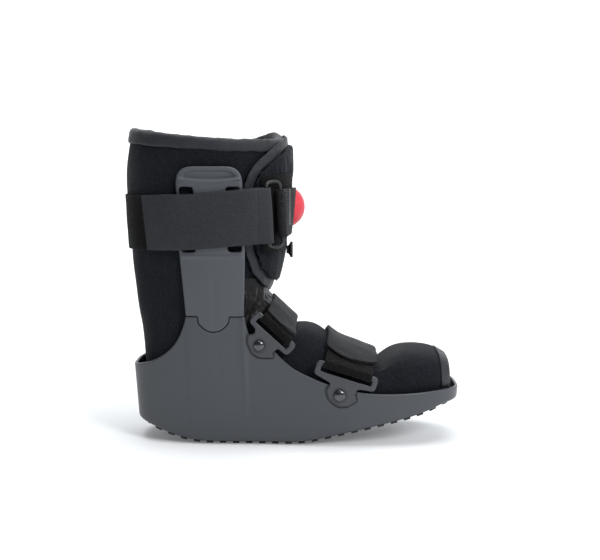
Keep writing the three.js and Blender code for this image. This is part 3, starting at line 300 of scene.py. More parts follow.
WEBBING_CLOTH = cloth(
    "webbing_fabric", (12, 12, 14), (44, 45, 49), grain=1500, stretch=(0.3, 0.3, 1.6), sheen=0.05)
THREAD = cloth("thread", (54, 55, 59), (106, 108, 112), grain=2600, depth=0.00005, rough=0.7)
print("finishes ready")

# %% [markdown]
# ## Measures
#
# The plastic parts share one set of curves: the shell's drafted plan, the rocker of the sole and
# the leaning face of the uprights. They are written once here, in millimetres, and match the packed
# model's own measures.

# %% Measures of the plastic parts
LENGTH, HEEL_BACK, HEIGHT = 302.5, -107.5, 285
HEEL_HALF, FORE_HALF, PLAN_POWER, WALL_SLOPE = 53.5, 60, 3.6, 0.07
SHELL_UNDER, SHELL_WALL, SHELL_FLOOR = 3.35, 3, 3
MIDDLE = HEEL_BACK + LENGTH / 2
RIM_LEVEL = 0.242 * HEIGHT
POST_HALF, POST_TOP, STRUT_TOP = 57.5, 118.5, 252.5
STRUT_FOOT_X, STRUT_TOP_X, STRUT_FOOT_HALF = -29.5, -33.5, 26.25
STRUT_THICK, BRACKET_THICK, BRACKET_BACK = 3, 3, -0.85
STRUT_TOP_HALF, WINDOW_LOW, WINDOW_HIGH, WINDOW_CENTRE, WINDOW_HALF = 29.5, 177, 234.3, 20.5, 6.25
TONGUE_RADIUS, TONGUE_SHIFT, SEAT_GAP, POCKET_ROUND, POCKET_DEEP = 14.1, -1.4, 0.35, 2, 1.2
CALF_LEVEL, CALF_RISE, CALF_HALF = 207.9, 0.09, 30
LOOP_EDGE_X, LOOP_EDGE_Z, LOOP_EDGE_LEAN, LOOP_SIDE = -91.5, 202, 0.1, -20
BULB_LEVEL, VALVE_LEVEL = 214, 174

RIM_BACK = [
    (-0.03, 0.243), (0, 0.245), (0.039, 0.258), (0.066, 0.267), (0.095, 0.284), (0.122, 0.307),
    (0.145, 0.337), (0.158, 0.368), (0.168, 0.396), (0.1713, 0.4145),
]
RIM_FRONT = [
    (0.3455, 0.416), (0.351, 0.385), (0.358, 0.356), (0.375, 0.35), (0.405, 0.345), (0.424, 0.323),
    (0.438, 0.3), (0.474, 0.263), (0.5, 0.243), (0.559, 0.214), (0.599, 0.199), (0.664, 0.18),
    (0.71, 0.172), (0.763, 0.168), (0.852, 0.169), (0.934, 0.176), (0.984, 0.175), (1.02, 0.17),
]


def smoothstep(t):
    t = np.clip(t, 0, 1)
    return t * t * (3 - 2 * t)


def along(share):
    return HEEL_BACK + LENGTH * share


def body_half(x):
    return HEEL_HALF + (FORE_HALF - HEEL_HALF) * smoothstep((x - along(0.29)) / (along(0.69) - along(0.29)))


def drafted(z, offset):
    return (z - RIM_LEVEL) * WALL_SLOPE + offset


def shell_half(x, z, offset=0):
    grow = drafted(z, offset)
    reach = np.minimum(1, np.abs((x - MIDDLE) / (LENGTH / 2 + grow)))
    return (body_half(x) + grow) * (1 - reach**PLAN_POWER) ** (1 / PLAN_POWER)


def sole_rise(x):
    toe = x > 0
    reach = np.maximum(0, np.where(toe, x - 36, -x - 35))
    run = np.where(toe, np.minimum(reach, 142), reach)
    radius = np.where(toe, 110, 112)
    bend = np.minimum(run, np.where(toe, 26, 38))
    tip = np.where(toe, np.maximum(0, run - 104) ** 2 / 460, 0)
    return bend**2 / (2 * radius) + (run - bend) * bend / radius + tip + (reach - run) * 0.1


def upright_axis(z):
    return STRUT_FOOT_X + (STRUT_TOP_X - STRUT_FOOT_X) * (z - POST_TOP) / (STRUT_TOP - POST_TOP)


def upright_face(x, z):
    across = x - upright_axis(z)
    crown = np.where(across < 0, 0.0032, 0.0014)
    return POST_HALF + 0.084 * (z - POST_TOP) + 0.045 * across - crown * across**2


def rim_height(x):
    """The wall's upper edge: the heel's rim, the post's top, and the rim along the foot."""

    def curve(rows):
        xs, zs = np.array([(along(a), b * HEIGHT) for a, b in rows]).T
        fine = np.linspace(0, len(xs) - 1, 12 * len(xs))

        def smooth(values):
            padded = np.pad(np.interp(fine, np.arange(len(xs)), values), 6, mode="edge")
            return np.convolve(padded, np.ones(13) / 13, "valid")

        return smooth(xs), smooth(zs)

    back, front = curve(RIM_BACK), curve(RIM_FRONT)
    left, right = along(RIM_BACK[-1][0]), along(RIM_FRONT[0][0])
    return np.where(x < left, np.interp(x, *back), np.where(x > right, np.interp(x, *front), POST_TOP))


def calf_line(x):
    """The calf strap's middle, which climbs a little towards the shin."""
    return CALF_LEVEL + CALF_RISE * x


print("rim at the heel, middle and toe", rim_height(np.array([-105.0, 80.0, 190.0])).round(1))


# %% Outlines with rounded corners, moved outwards or inwards
def moved(corners, distance):
    """Corners (x, z, radius) moved out by a distance; outward corners gain it in radius."""
    points = [Vector(c[:2]) for c in corners]
    area = sum(a.x * b.y - b.x * a.y for a, b in zip(points, points[1:] + points[:1]))
    turn = 1 if area > 0 else -1
    result = []
    for i, (x, z, radius) in enumerate(corners):
        here = points[i]
        into = (here - points[i - 1]).normalized()
        out = (points[(i + 1) % len(points)] - here).normalized()
        before = Vector((into.y, -into.x)) * turn
        after = Vector((out.y, -out.x)) * turn
        middle = (before + after).normalized()
        point = here + middle * (distance / max(0.3, middle.dot(after)))
        bulge = math.copysign(1, (into.x * out.y - into.y * out.x) * turn)
        result.append((point.x, point.y, max(0.3, radius + bulge * distance)))
    return result


def rounded(corners, steps=6):
    """A closed line of points with its corners (x, z, radius) rounded."""
    points = []
    for i, (x, z, radius) in enumerate(corners):
        here = Vector((x, z))
        back = Vector(corners[i - 1][:2]) - here
        ahead = Vector(corners[(i + 1) % len(corners)][:2]) - here
        bend = back.angle(ahead)
        reach = min(radius / math.tan(bend / 2), min(back.length, ahead.length) * 0.49)
        start, end = here + back.normalized() * reach, here + ahead.normalized() * reach
        for k in range(steps + 1):
            t = k / steps
            points.append(start * (1 - t) ** 2 + here * (2 * t * (1 - t)) + end * t**2)
    return points


# %% Helpers that shape and finish pieces
def applied(piece, kind, **settings):
    """Adds a modifier and applies it at once."""
    bpy.ops.object.select_all(action="DESELECT")
    bpy.context.view_layer.objects.active = piece
    piece.select_set(True)
    modifier = piece.modifiers.new(kind.title(), kind)
    for key, value in settings.items():
        setattr(modifier, key, value)
    bpy.ops.object.modifier_apply(modifier=modifier.name)


def points_of(piece):
    flat = np.empty(len(piece.data.vertices) * 3)
    piece.data.vertices.foreach_get("co", flat)
    return flat.reshape(-1, 3)


def set_points(piece, points):
    piece.data.vertices.foreach_set("co", np.ascontiguousarray(points).ravel())
    piece.data.update()


def new_piece(name, points, faces=(), edges=()):
    """A piece from points in millimetres."""
    mesh = bpy.data.meshes.new(name)
    mesh.from_pydata([tuple(float(c) * MM for c in p) for p in points], edges, faces)
    piece = bpy.data.objects.new(name, mesh)
    scene.collection.objects.link(piece)
    return piece


def outward(piece):
    """Makes every face look outwards."""
    work = bmesh.new()
    work.from_mesh(piece.data)
    bmesh.ops.recalc_face_normals(work, faces=work.faces)
    if work.calc_volume(signed=True) < 0:
        bmesh.ops.reverse_faces(work, faces=work.faces)
    work.to_mesh(piece.data)
    work.free()


def finished(piece, slot, material, *stands_for, angle=35):
    """Shades a piece, gives it its finish and puts it in the frame."""
    piece.data.materials.clear()
    piece.data.materials.append(material)
    bpy.ops.object.select_all(action="DESELECT")
    bpy.context.view_layer.objects.active = piece
    piece.select_set(True)
    bpy.ops.object.shade_smooth_by_angle(angle=math.radians(angle))
    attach(piece, "root")
    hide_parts(*stands_for)
    print(piece.name, len(piece.data.polygons), "faces")


def mirrored(piece, name):
    """The same piece on the far side."""
    twin = piece.copy()
    twin.data = piece.data.copy()
    twin.name = name
    scene.collection.objects.link(twin)
    set_points(twin, points_of(twin) * (1, -1, 1))
    outward(twin)
    return twin


def plate(name, outline, holes, thick, edge, voxel):
    """A flat plate with rounded edges and an even fine mesh, its outer face up."""
    curve = bpy.data.curves.new(name, "CURVE")
    curve.dimensions = "2D"
    curve.fill_mode = "BOTH"
    for loop in (outline, *holes):
        spline = curve.splines.new("POLY")
        spline.points.add(len(loop) - 1)
        for point, place in zip(spline.points, loop):
            point.co = (place.x * MM, place.y * MM, 0, 1)
        spline.use_cyclic_u = True
    curve.extrude = (thick / 2 - edge) * MM
    curve.bevel_depth = edge * MM
    curve.bevel_resolution = 2
    curve.offset = -edge * MM
    piece = bpy.data.objects.new(name, curve)
    scene.collection.objects.link(piece)
    bpy.ops.object.select_all(action="DESELECT")
    bpy.context.view_layer.objects.active = piece
    piece.select_set(True)
    bpy.ops.object.convert(target="MESH")
    piece = bpy.context.object
    applied(piece, "REMESH", mode="VOXEL", voxel_size=voxel * MM)
    applied(piece, "SMOOTH", factor=0.5, iterations=3)
    return piece


def bent(piece, thick, surface):
    """Turns a flat plate upright on the near side and lays it along a surface y(x, z, depth)."""
    x, z, depth = points_of(piece).T / MM
    y = -surface(x, z, depth + thick / 2)
    set_points(piece, np.stack([x, y, z], 1) * MM)


# %% [markdown]
# ## Shell
#
# One moulding: heel cup, floor, foot walls and the two posts that carry the struts. Its walls lean
# outwards a little, its edge is rounded and about three millimetres thick, and shallow pockets take
# the strap brackets. It is laid out as rows of points round the plan, from the sole's edge up the
# outside, over the rim and down inside, and the pockets and strut seats are then cut out.

# %% Shell: rows of points
def plan_columns(count=210):
    """Shares of the plan's half length and width, closer together at the posts' edges."""
    turn = np.linspace(0, math.pi, 20001)
    share = np.sign(np.cos(turn)) * np.abs(np.cos(turn)) ** (2 / PLAN_POWER)
    breadth = np.sin(turn) ** (2 / PLAN_POWER)
    x = MIDDLE + LENGTH / 2 * share
    y = body_half(x) * breadth
    weight = 1 + 5 * np.exp(-(((x + 56) / 4) ** 2)) + 5 * np.exp(-(((x + 1) / 5) ** 2))
    weight += 2 * np.exp(-(((x - 24) / 14) ** 2))
    step = np.hypot(np.diff(x), np.diff(y)) * (weight[1:] + weight[:-1]) / 2
    run = np.concatenate([[0], np.cumsum(step)])
    stops = (np.arange(count) + 0.5) / count * run[-1]
    at = np.interp(stops, run, turn)
    share = np.sign(np.cos(at)) * np.abs(np.cos(at)) ** (2 / PLAN_POWER)
    return share, np.sin(at) ** (2 / PLAN_POWER)


def wall_row(share, breadth, rise, lift, offset, floor_lift=0):
    """One row round the wall: a share of the way from the sole to the rim, lifted and offset."""
    z = np.full(len(share), RIM_LEVEL)
    for _ in range(4):
        x = MIDDLE + share * (LENGTH / 2 + drafted(z, offset))
        low = sole_rise(x) + SHELL_UNDER + floor_lift
        z = low + rise * (rim_height(x) - low) + lift
    y = (body_half(x) + drafted(z, offset)) * breadth
    off_post = np.maximum(0, np.abs(x - upright_axis(z)) - STRUT_FOOT_HALF + 0.5)
    post = upright_face(x, z) + offset - 0.7 * off_post
    if offset > -2.9:
        blend = np.clip((post - y) / 3, -1, 1)
        y = np.where(blend > -1, y + 0.75 * (blend + 1) ** 2, y)
        across = x - upright_axis(z)
        ridge = 0.9 * np.exp(-(((across - 25) / 2.6) ** 2)) - 0.35 * np.exp(-(((across - 2) / 2.2) ** 2))
        y = y + ridge * smoothstep((z - 28) / 30) * smoothstep((POST_TOP + 1 - z) / 6)
    near = np.stack([x, -y, z], 1)
    far = np.stack([x, y, z], 1)[::-1]
    return np.concatenate([near, far])


OVER_THE_RIM = [(-0.12, -0.55), (-0.45, -0.15), (-0.95, 0), (-2.05, 0), (-2.55, -0.15), (-2.88, -0.55)]


def shell():
    """The whole shell as one skin: out and up, over the rim, and down the inside."""
    share, breadth = plan_columns()
    radius, inner, lip, wall = 2.4, 4, 1.2, SHELL_WALL
    rows = [wall_row(share, breadth, 0, radius * (1 - math.cos(a)), -radius * (1 - math.sin(a)))
            for a in np.radians([0, 30, 60])]
    rows += [wall_row(share, breadth, t, radius + (-lip - radius) * t, 0) for t in np.linspace(0, 1, 38)]
    rows += [wall_row(share, breadth, 1, lift, offset) for offset, lift in OVER_THE_RIM]
    rows += [wall_row(share, breadth, t, inner + (-lip - inner) * t, -wall, SHELL_FLOOR)
             for t in np.linspace(1, 0, 16)]
    rows += [wall_row(share, breadth, 0, inner * (1 - math.cos(a)), -wall - inner * (1 - math.sin(a)),
                      SHELL_FLOOR) for a in np.radians([60, 30, 0])]
    count = len(rows[0])
    faces = []
    for r in range(len(rows) - 1):
        for c in range(count):
            d = (c + 1) % count
            faces.append((r * count + c, r * count + d, (r + 1) * count + d, (r + 1) * count + c))
    half = count // 2
    for r in (0, len(rows) - 1):
        for c in range(half - 1):
            start = r * count
            faces.append((start + c, start + c + 1, start + count - 2 - c, start + count - 1 - c))
    piece = new_piece("foot_shell", np.concatenate(rows), faces)
    outward(piece)
    return piece


shell_piece = shell()
print("shell rows done", len(shell_piece.data.polygons))


# %% Outlines of the struts and brackets
def strut_half(z):
    """Half the strut's breadth at a height."""
    share = np.clip((z - POST_TOP) / (WINDOW_LOW - POST_TOP), 0, 1)
    return STRUT_FOOT_HALF + (STRUT_TOP_HALF - STRUT_FOOT_HALF) * share


def strut_corners():
    """The strut's outline: a rounded head, leaning sides and a rounded tongue at the foot."""

    def edge(z, side, radius):
        return (float(upright_axis(z) + side * strut_half(z)), z, radius)

    def tongue(a, b, radius):
        return (STRUT_FOOT_X + TONGUE_SHIFT + a * TONGUE_RADIUS, POST_TOP + b * TONGUE_RADIUS, radius)

    octagon = math.tan(math.pi / 8)
    return [
        edge(STRUT_TOP, -1, 15), edge(STRUT_TOP, 1, 15), edge(WINDOW_LOW, 1, 40), edge(POST_TOP, 1, 1),
        tongue(1, 0, 1.5), tongue(1, -octagon, 14), tongue(octagon, -1, 14), tongue(-octagon, -1, 14),
        tongue(-1, -octagon, 14), tongue(-1, 0, 1.5), edge(POST_TOP, -1, 1), edge(WINDOW_LOW, -1, 40),
    ]


def leaning_box(centre, half, low, high, radius):
    """A box that leans with the strut."""

    def corner(z, side):
        return (float(upright_axis(z)) + centre + side * half, z, radius)

    return [corner(low, -1), corner(low, 1), corner(high, 1), corner(high, -1)]


INSTEP = {
    "rivet": (along(0.3884), 0.3263 * HEIGHT), "radius": 5,
    "slot": (-3, 21.5), "slope": -0.745, "long": 36.5,
    "body": [(17, -3, 2), (12, -6, 1.5), (12, -11, 1), (0, -11, 6), (-6, -7, 4), (-10, 2, 4),
             (-10, 9.5, 1.5), (-4, 11, 1.5), (-3.5, 15.5, 2)],
}
FOREFOOT = {
    "rivet": (along(0.6264), 0.1684 * HEIGHT), "radius": 5.5,
    "slot": (-17.5, 22.5), "slope": -0.309, "long": 47.5,
    "body": [(19, 5, 2), (16, 5, 2), (13, 1, 2), (15, -5, 2), (7, -10, 6), (0, -10.5, 4), (-6, -7, 4),
             (-10, -2, 4), (-12, 5, 2), (-8, 11, 2)],
}
SLOT_HIGH, BAR_HIGH, HOOK = 5.5, 4, 5


def on_slot(kind, run, rise, radius):
    """A corner measured along and across the slot."""
    (x, z), (sx, sz) = kind["rivet"], kind["slot"]
    c, s = math.cos(kind["slope"]), math.sin(kind["slope"])
    return (x + sx + run * c - rise * s, z + sz + run * s + rise * c, radius)


def bracket_corners(kind):
    """The slotted bar with its two hooked ends, and the lobe round the rivet."""
    rear, front, top = -HOOK, kind["long"] + HOOK, SLOT_HIGH + BAR_HIGH
    x, z = kind["rivet"]
    body = [(x + a, z + b, r) for a, b, r in kind["body"]]
    return [on_slot(kind, rear, top, 4.5), on_slot(kind, front, top, 4.5), on_slot(kind, front, -BAR_HIGH, 4),
            *body, on_slot(kind, rear, -BAR_HIGH, 4)]


def slot_corners(kind):
    """The slot that the strap goes through."""
    places = [(0, 0), (kind["long"], 0), (kind["long"], SLOT_HIGH), (0, SLOT_HIGH)]
    return [on_slot(kind, run, rise, 1.5) for run, rise in places]


# %% Shell: cut the bracket pockets and the strut seats
def shell_cutters():
    """Solids that leave the bracket pockets and the strut seats when they are cut from the shell."""
    pocket_thick, seat_thick = 6, 9
    cutters = []
    for kind in (INSTEP, FOREFOOT):
        outline = rounded(moved(bracket_corners(kind), POCKET_ROUND))
        cutter = plate("pocket", outline, [], pocket_thick, edge=0.3, voxel=0.9)
        bent(cutter, pocket_thick, lambda x, z, depth: shell_half(x, z, depth - POCKET_DEEP))
        cutters.append(cutter)
    outline = rounded(moved(strut_corners(), SEAT_GAP))
    seat = plate("seat", outline, [], seat_thick, edge=0.2, voxel=0.9)
    bent(seat, seat_thick, lambda x, z, depth: upright_face(x, z) - STRUT_THICK - SEAT_GAP + depth)
    cutters.append(seat)
    return cutters + [mirrored(cutter, "far_cutter") for cutter in cutters]


cutters = shell_cutters()
bpy.ops.object.select_all(action="DESELECT")
for cutter in cutters:
    cutter.select_set(True)
bpy.context.view_layer.objects.active = cutters[0]
bpy.ops.object.join()
cutter = bpy.context.object
outward(cutter)
applied(shell_piece, "BOOLEAN", operation="DIFFERENCE", solver="EXACT", object=cutter)
bpy.data.objects.remove(cutter)
finished(shell_piece, "shell_plastic", SHELL_PLASTIC, "shell", angle=32)

# %% [markdown]
# ## Struts
#
# Each strut is a moulded plate with two windows for the calf strap. Round the windows a field
# stands a little proud, above it the head is dished inside a rim, and the foot ends in a rounded
# tongue that sits in the post.

# %% Struts
def strut_relief(x, z):
    """How far the outer face stands out from the plain plate."""
    off = np.abs(x - upright_axis(z))
    inside_field = smoothstep((STRUT_TOP_HALF - 1.4 - off) / 1.2)
    field = inside_field * smoothstep((z - WINDOW_LOW + 5) / 1.6) * smoothstep((WINDOW_HIGH + 5 - z) / 1.6)
    dish_low = WINDOW_HIGH + 6 + 3 * (off / STRUT_TOP_HALF) ** 2
    edge = np.minimum(STRUT_TOP_HALF - 3 - off, STRUT_TOP - 3 - z)
    corner = np.hypot(np.maximum(0, off - STRUT_TOP_HALF + 15), np.maximum(0, z - STRUT_TOP + 15))
    edge = np.minimum(edge, 12 - corner)
    dish = smoothstep(edge / 2.2) * smoothstep((z - dish_low) / 3.0)
    crease = np.exp(-((off / 2.5) ** 2)) * smoothstep((WINDOW_LOW - 8 - z) / 12)
    upper_lip = np.exp(-(((z - dish_low + 1.2) / 1.5) ** 2)) * inside_field
    lower_lip = np.exp(-(((z - WINDOW_LOW + 4.5) / 1.4) ** 2)) * inside_field
    proud, dished, creased, upper, lower = 0.7, 2.0, 0.25, 2.0, 0.96
    return proud * field - dished * dish - creased * crease + upper * upper_lip + lower * lower_lip


def strut():
    """The near strut: a plate with two windows, bent to the leaning face."""
    centres = (-WINDOW_CENTRE, WINDOW_CENTRE)
    windows = [rounded(leaning_box(centre, WINDOW_HALF, WINDOW_LOW, WINDOW_HIGH, 3)) for centre in centres]
    outline = rounded(moved(strut_corners(), -0.2))
    piece = plate("strut_near_side", outline, windows, STRUT_THICK, edge=0.8, voxel=0.75)

    def surface(x, z, depth):
        outer = smoothstep(depth / STRUT_THICK * 2 - 0.6)
        return upright_face(x, z) - STRUT_THICK + depth + outer * strut_relief(x, z)

    bent(piece, STRUT_THICK, surface)
    return piece


near = strut()
far = mirrored(near, "strut_far_side")
finished(near, "strut_plastic", STRUT_PLASTIC, "strut_near", angle=60)
finished(far, "strut_plastic", STRUT_PLASTIC, "strut_far", angle=60)

# %% [markdown]
# ## Brackets and rivets
#
# A bracket is a flat slotted loop above the rim with a lobe below, held to the wall by one domed
# rivet. It lies in its pocket and follows the wall's curve.

# %% Brackets and rivets
def turned(name, profile, steps=40):
    """A solid of revolution about its own upright axis from (radius, height) in millimetres."""
    links = [(i, i + 1) for i in range(len(profile) - 1)]
    piece = new_piece(name, [(r, 0, h) for r, h in profile], edges=links)
    applied(piece, "SCREW", angle=2 * math.pi, steps=steps, render_steps=steps, axis="Z",
            use_merge_vertices=True, merge_threshold=1e-5)
    outward(piece)
    return piece


def dome(radius, foot, high, steps=8):
    """The profile of a domed head from its rim up to its crown."""
    return [(radius * math.cos(a), foot + high * math.sin(a)) for a in np.linspace(0, math.pi / 2, steps)]


def bracket(name, kind):
    """A bracket with a slightly sunk lobe round its rivet."""
    outline, slot = rounded(bracket_corners(kind)), rounded(slot_corners(kind), 4)
    piece = plate(name, outline, [slot], BRACKET_THICK, edge=0.9, voxel=0.6)
    rx, rz = kind["rivet"]

    def surface(x, z, depth):
        boss = smoothstep((kind["radius"] + 2.5 - np.hypot(x - rx, z - rz)) / 2)
        outer = smoothstep(depth / BRACKET_THICK * 2 - 0.6)
        return shell_half(x, z, BRACKET_BACK + depth) - 0.35 * boss * outer

    bent(piece, BRACKET_THICK, surface)
    return piece


def rivet(name, kind):
    """A rivet with a domed head outside, a shank and a flat tail inside the wall."""
    rx, rz = kind["rivet"]
    outside = float(shell_half(rx, rz, BRACKET_BACK + BRACKET_THICK)) + 0.3
    inside = float(shell_half(rx, rz, -SHELL_WALL)) - 0.75
    radius = kind["radius"]
    tail, shank, foot, high = 4, 2.5, 0.7, 2.4
    profile = [(0, inside - 1), (tail, inside - 1), (tail, inside), (shank, inside), (shank, outside),
               (radius - 0.4, outside), (radius, outside + 0.3), *dome(radius, outside + foot, high)]
    profile[-1] = (0, outside + foot + high)
    piece = turned(name, profile)
    x, y, z = points_of(piece).T
    set_points(piece, np.stack([x + rx * MM, -z, y + rz * MM], 1))
    return piece


for place, kind in (("instep", INSTEP), ("forefoot", FOREFOOT)):
    for part, maker, slot, material in (
        ("bracket", bracket, "bracket_plastic", BRACKET_PLASTIC),
        ("rivet", rivet, "rivet_metal", RIVET_METAL),
    ):
        near = maker(f"{place}_{part}_near_side", kind)
        far = mirrored(near, f"{place}_{part}_far_side")
        finished(near, slot, material, f"{place}_{part}_near", angle=50)
        finished(far, slot, material, f"{place}_{part}_far", angle=50)

# %% [markdown]
# ## Soft goods
#
# The bootie, flap, bindings and straps are sewn from cloth over foam. Each starts from its packed
# shape, whose facets are joined into squares and rounded; the padded ones are then filled with air
# in a short simulation, held still under the straps, so that they swell a little between them.


# %% Helpers for the soft goods
def from_packed(name, node, levels=2, crease=0.7, angle=50):
    """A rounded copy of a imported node, with its sharp folds kept."""
    piece = bpy.data.objects.new(name, nodes[node].data.copy())
    scene.collection.objects.link(piece)
    work = bmesh.new()
    work.from_mesh(piece.data)
    bmesh.ops.remove_doubles(work, verts=work.verts, dist=2e-5)
    bmesh.ops.join_triangles(work, faces=work.faces, angle_face_threshold=1.2, angle_shape_threshold=3.1)
    creases = work.edges.layers.float.get("crease_edge") or work.edges.layers.float.new("crease_edge")
    for edge in work.edges:
        if len(edge.link_faces) == 2 and edge.calc_face_angle() > math.radians(angle):
            edge[creases] = crease
    work.to_mesh(piece.data)
    work.free()
    if levels:
        applied(piece, "SUBSURF", levels=levels, render_levels=levels)
    return piece


def remeshed(piece, voxel, smooth):
    """Gives a piece an even fine mesh, then smooths it."""
    applied(piece, "REMESH", mode="VOXEL", voxel_size=voxel * MM)
    applied(piece, "SMOOTH", factor=0.5, iterations=smooth)


def normals_of(piece):
    flat = np.empty(len(piece.data.vertices) * 3)
    piece.data.vertex_normals.foreach_get("vector", flat)
    return flat.reshape(-1, 3)


def rumpled(piece, depth, size, mask=None, seed=0.0, stretch=(1, 1, 1)):
    """Moves a piece's points along their normals by slow noise, in millimetres."""
    points = points_of(piece)
    scaled = points / (size * MM) * stretch + seed
    waves = np.array([noise.fractal(Vector(p), 1.0, 2.0, 2) for p in scaled])
    if mask is not None:
        waves = waves * mask(*(points.T / MM))
    set_points(piece, points + normals_of(piece) * (waves * depth * MM)[:, None])


def filled(piece, held, reach, pressure=4.0, slack=0.03, frames=20):
    """Fills a padded piece with air; held(x, y, z) is 1 where it is held still."""
    start = points_of(piece)
    group = piece.vertex_groups.new(name="held")
    weights = held(*(start.T / MM))
    for i, weight in enumerate(weights):
        if weight > 0.01:
            group.add([i], float(weight), "REPLACE")
    modifier = piece.modifiers.new("Filling", "CLOTH")
    settings = modifier.settings
    settings.quality = 5
    settings.mass = 0.2
    settings.tension_stiffness = settings.compression_stiffness = 15
    settings.shear_stiffness = 5
    settings.bending_stiffness = 0.3
    settings.use_pressure = True
    settings.uniform_pressure_force = pressure
    settings.shrink_min = -slack
    settings.vertex_group_mass = "held"
    settings.pin_stiffness = 1
    settings.effector_weights.gravity = 0
    modifier.point_cache.frame_end = frames
    for number in range(1, frames + 1):
        scene.frame_set(number)
    bpy.context.view_layer.objects.active = piece
    bpy.ops.object.modifier_apply(modifier=modifier.name)
    scene.frame_set(1)
    shift = points_of(piece) - start
    size = np.linalg.norm(shift, axis=1, keepdims=True)
    capped = shift * np.minimum(1, reach * MM / np.maximum(size, 1e-9)) * (1 - weights[:, None])
    set_points(piece, start + capped)
    print(piece.name, "swelled by up to", round(float(size.max()) / MM, 1), "mm")


# %% [markdown]
# ### Padded bootie and shin flap
#
# The bootie is a foam and loop-cloth body, open at the top, with the shell round its foot. The flap
# is a separate pad over the shin. The calf strap and the two foot straps press into them, so they
# are held there and swell elsewhere.

# %% Padded bootie
def strap_bands(x, y, z):
    """1 under the calf strap and over the shell's rim, 0 on the free cloth."""
    calf = smoothstep((CALF_HALF - np.abs(z - calf_line(x))) / 5)
    low = smoothstep((rim_height(x) + 6 - z) / 8)
    top = smoothstep((z - 262) / 6)
    return np.maximum(np.maximum(calf, low), top)


bootie = from_packed("padded_bootie", "liner", levels=1, crease=0.5)
filled(bootie, strap_bands, 1.1)
applied(bootie, "SUBSURF", levels=1, render_levels=1)
rumpled(bootie, 0.5, 38, lambda x, y, z: 1 - strap_bands(x, y, z), seed=3.0)
finished(bootie, "liner_fabric", LINER_CLOTH, "liner", angle=70)

# %% Shin flap
flap = from_packed("shin_flap_pad", "shin_flap", levels=0)
remeshed(flap, 2.0, 3)
filled(flap, lambda x, y, z: 0.95 * smoothstep((CALF_HALF - np.abs(z - calf_line(x))) / 5), 1.2, slack=0.04)
applied(flap, "SUBSURF", levels=1, render_levels=1)
rumpled(flap, 0.6, 22, seed=8.0)
finished(flap, "liner_fabric", LINER_CLOTH, "shin_flap", angle=70)

# %% [markdown]
# ### Bindings and the nylon at the ankle
#
# The top edge and the flap's edge are bound with a smooth folded strip that puckers slightly, and
# black nylon shows crumpled between the strut and the flap's lower end.

# %% Bindings and nylon
top_strip = from_packed("top_edge_binding", "top_binding", levels=2, crease=0.0)
set_points(top_strip, points_of(top_strip) + normals_of(top_strip) * 0.7 * MM)
rumpled(top_strip, 0.9, 9, seed=1.0)
finished(top_strip, "binding_fabric", BINDING_CLOTH, "top_binding", angle=80)

flap_strip = from_packed("flap_edge_binding", "flap_binding", levels=0)
remeshed(flap_strip, 1.0, 5)
rumpled(flap_strip, 0.55, 10, seed=5.0)
finished(flap_strip, "binding_fabric", BINDING_CLOTH, "flap_binding", angle=80)

toe_strip = from_packed("toe_edge_binding", "toe_binding", levels=2, crease=0.4)
rumpled(toe_strip, 0.4, 12, seed=2.0)
finished(toe_strip, "binding_fabric", BINDING_CLOTH, "toe_binding", angle=80)

nylon = from_packed("ankle_nylon", "ankle_tongue", levels=3, crease=0.8)
under_flap, out = 139, 2.4
below = smoothstep((under_flap - points_of(nylon)[:, 2] / MM) / 6)
set_points(nylon, points_of(nylon) + normals_of(nylon) * (below * out * MM)[:, None])
rumpled(nylon, 2.2, 11, lambda x, y, z: 0.2 + smoothstep((under_flap + 6 - z) / 6),
        seed=6.0, stretch=(1.7, 1, 0.5))
rumpled(nylon, 0.3, 6, seed=7.0, stretch=(1, 1, 0.4))
finished(nylon, "nylon_fabric", NYLON_CLOTH, "ankle_tongue", angle=80)

# %% [markdown]
# ### Straps, webbing and ring
#
# The calf strap is one length of hook-and-loop: it starts at the ring, goes round the back behind
# the struts' centre bars, comes through the ring and is pressed back over itself. The smooth end
# stops at a slanting edge near the heel side, where the fuzzy side shows. Flat straps are taken
# straight from their packed routes. The webbing that holds the ring has a ladder of stitches, which
# are short threads laid on its near face.

# %% Straps and ring
calf = from_packed("calf_strap_length", "calf_strap", levels=2, crease=0.9)
rumpled(calf, 0.5, 26, seed=4.0)
work = bmesh.new()
work.from_mesh(calf.data)
bmesh.ops.bisect_plane(
    work, geom=[*work.verts, *work.edges, *work.faces], dist=1e-6,
    plane_co=(LOOP_EDGE_X * MM, 0, LOOP_EDGE_Z * MM), plane_no=Vector((1, 0, LOOP_EDGE_LEAN)).normalized())
work.to_mesh(calf.data)
work.free()
finished(calf, "strap_fabric", STRAP_CLOTH, "calf_strap", angle=60)
calf.data.materials.append(LOOP_CLOTH)
for face in calf.data.polygons:
    x, y, z = face.center / MM
    if y > LOOP_SIDE or x < LOOP_EDGE_X - LOOP_EDGE_LEAN * (z - LOOP_EDGE_Z):
        face.material_index = 1

backing = from_packed("backing_patch", "strap_backing", levels=2, crease=0.9)
finished(backing, "loop_fabric", LOOP_CLOTH, "strap_backing", angle=60)

webbing = from_packed("ring_webbing_loop", "ring_webbing", levels=2, crease=0.9)
finished(webbing, "webbing_fabric", WEBBING_CLOTH, "ring_webbing", angle=60)


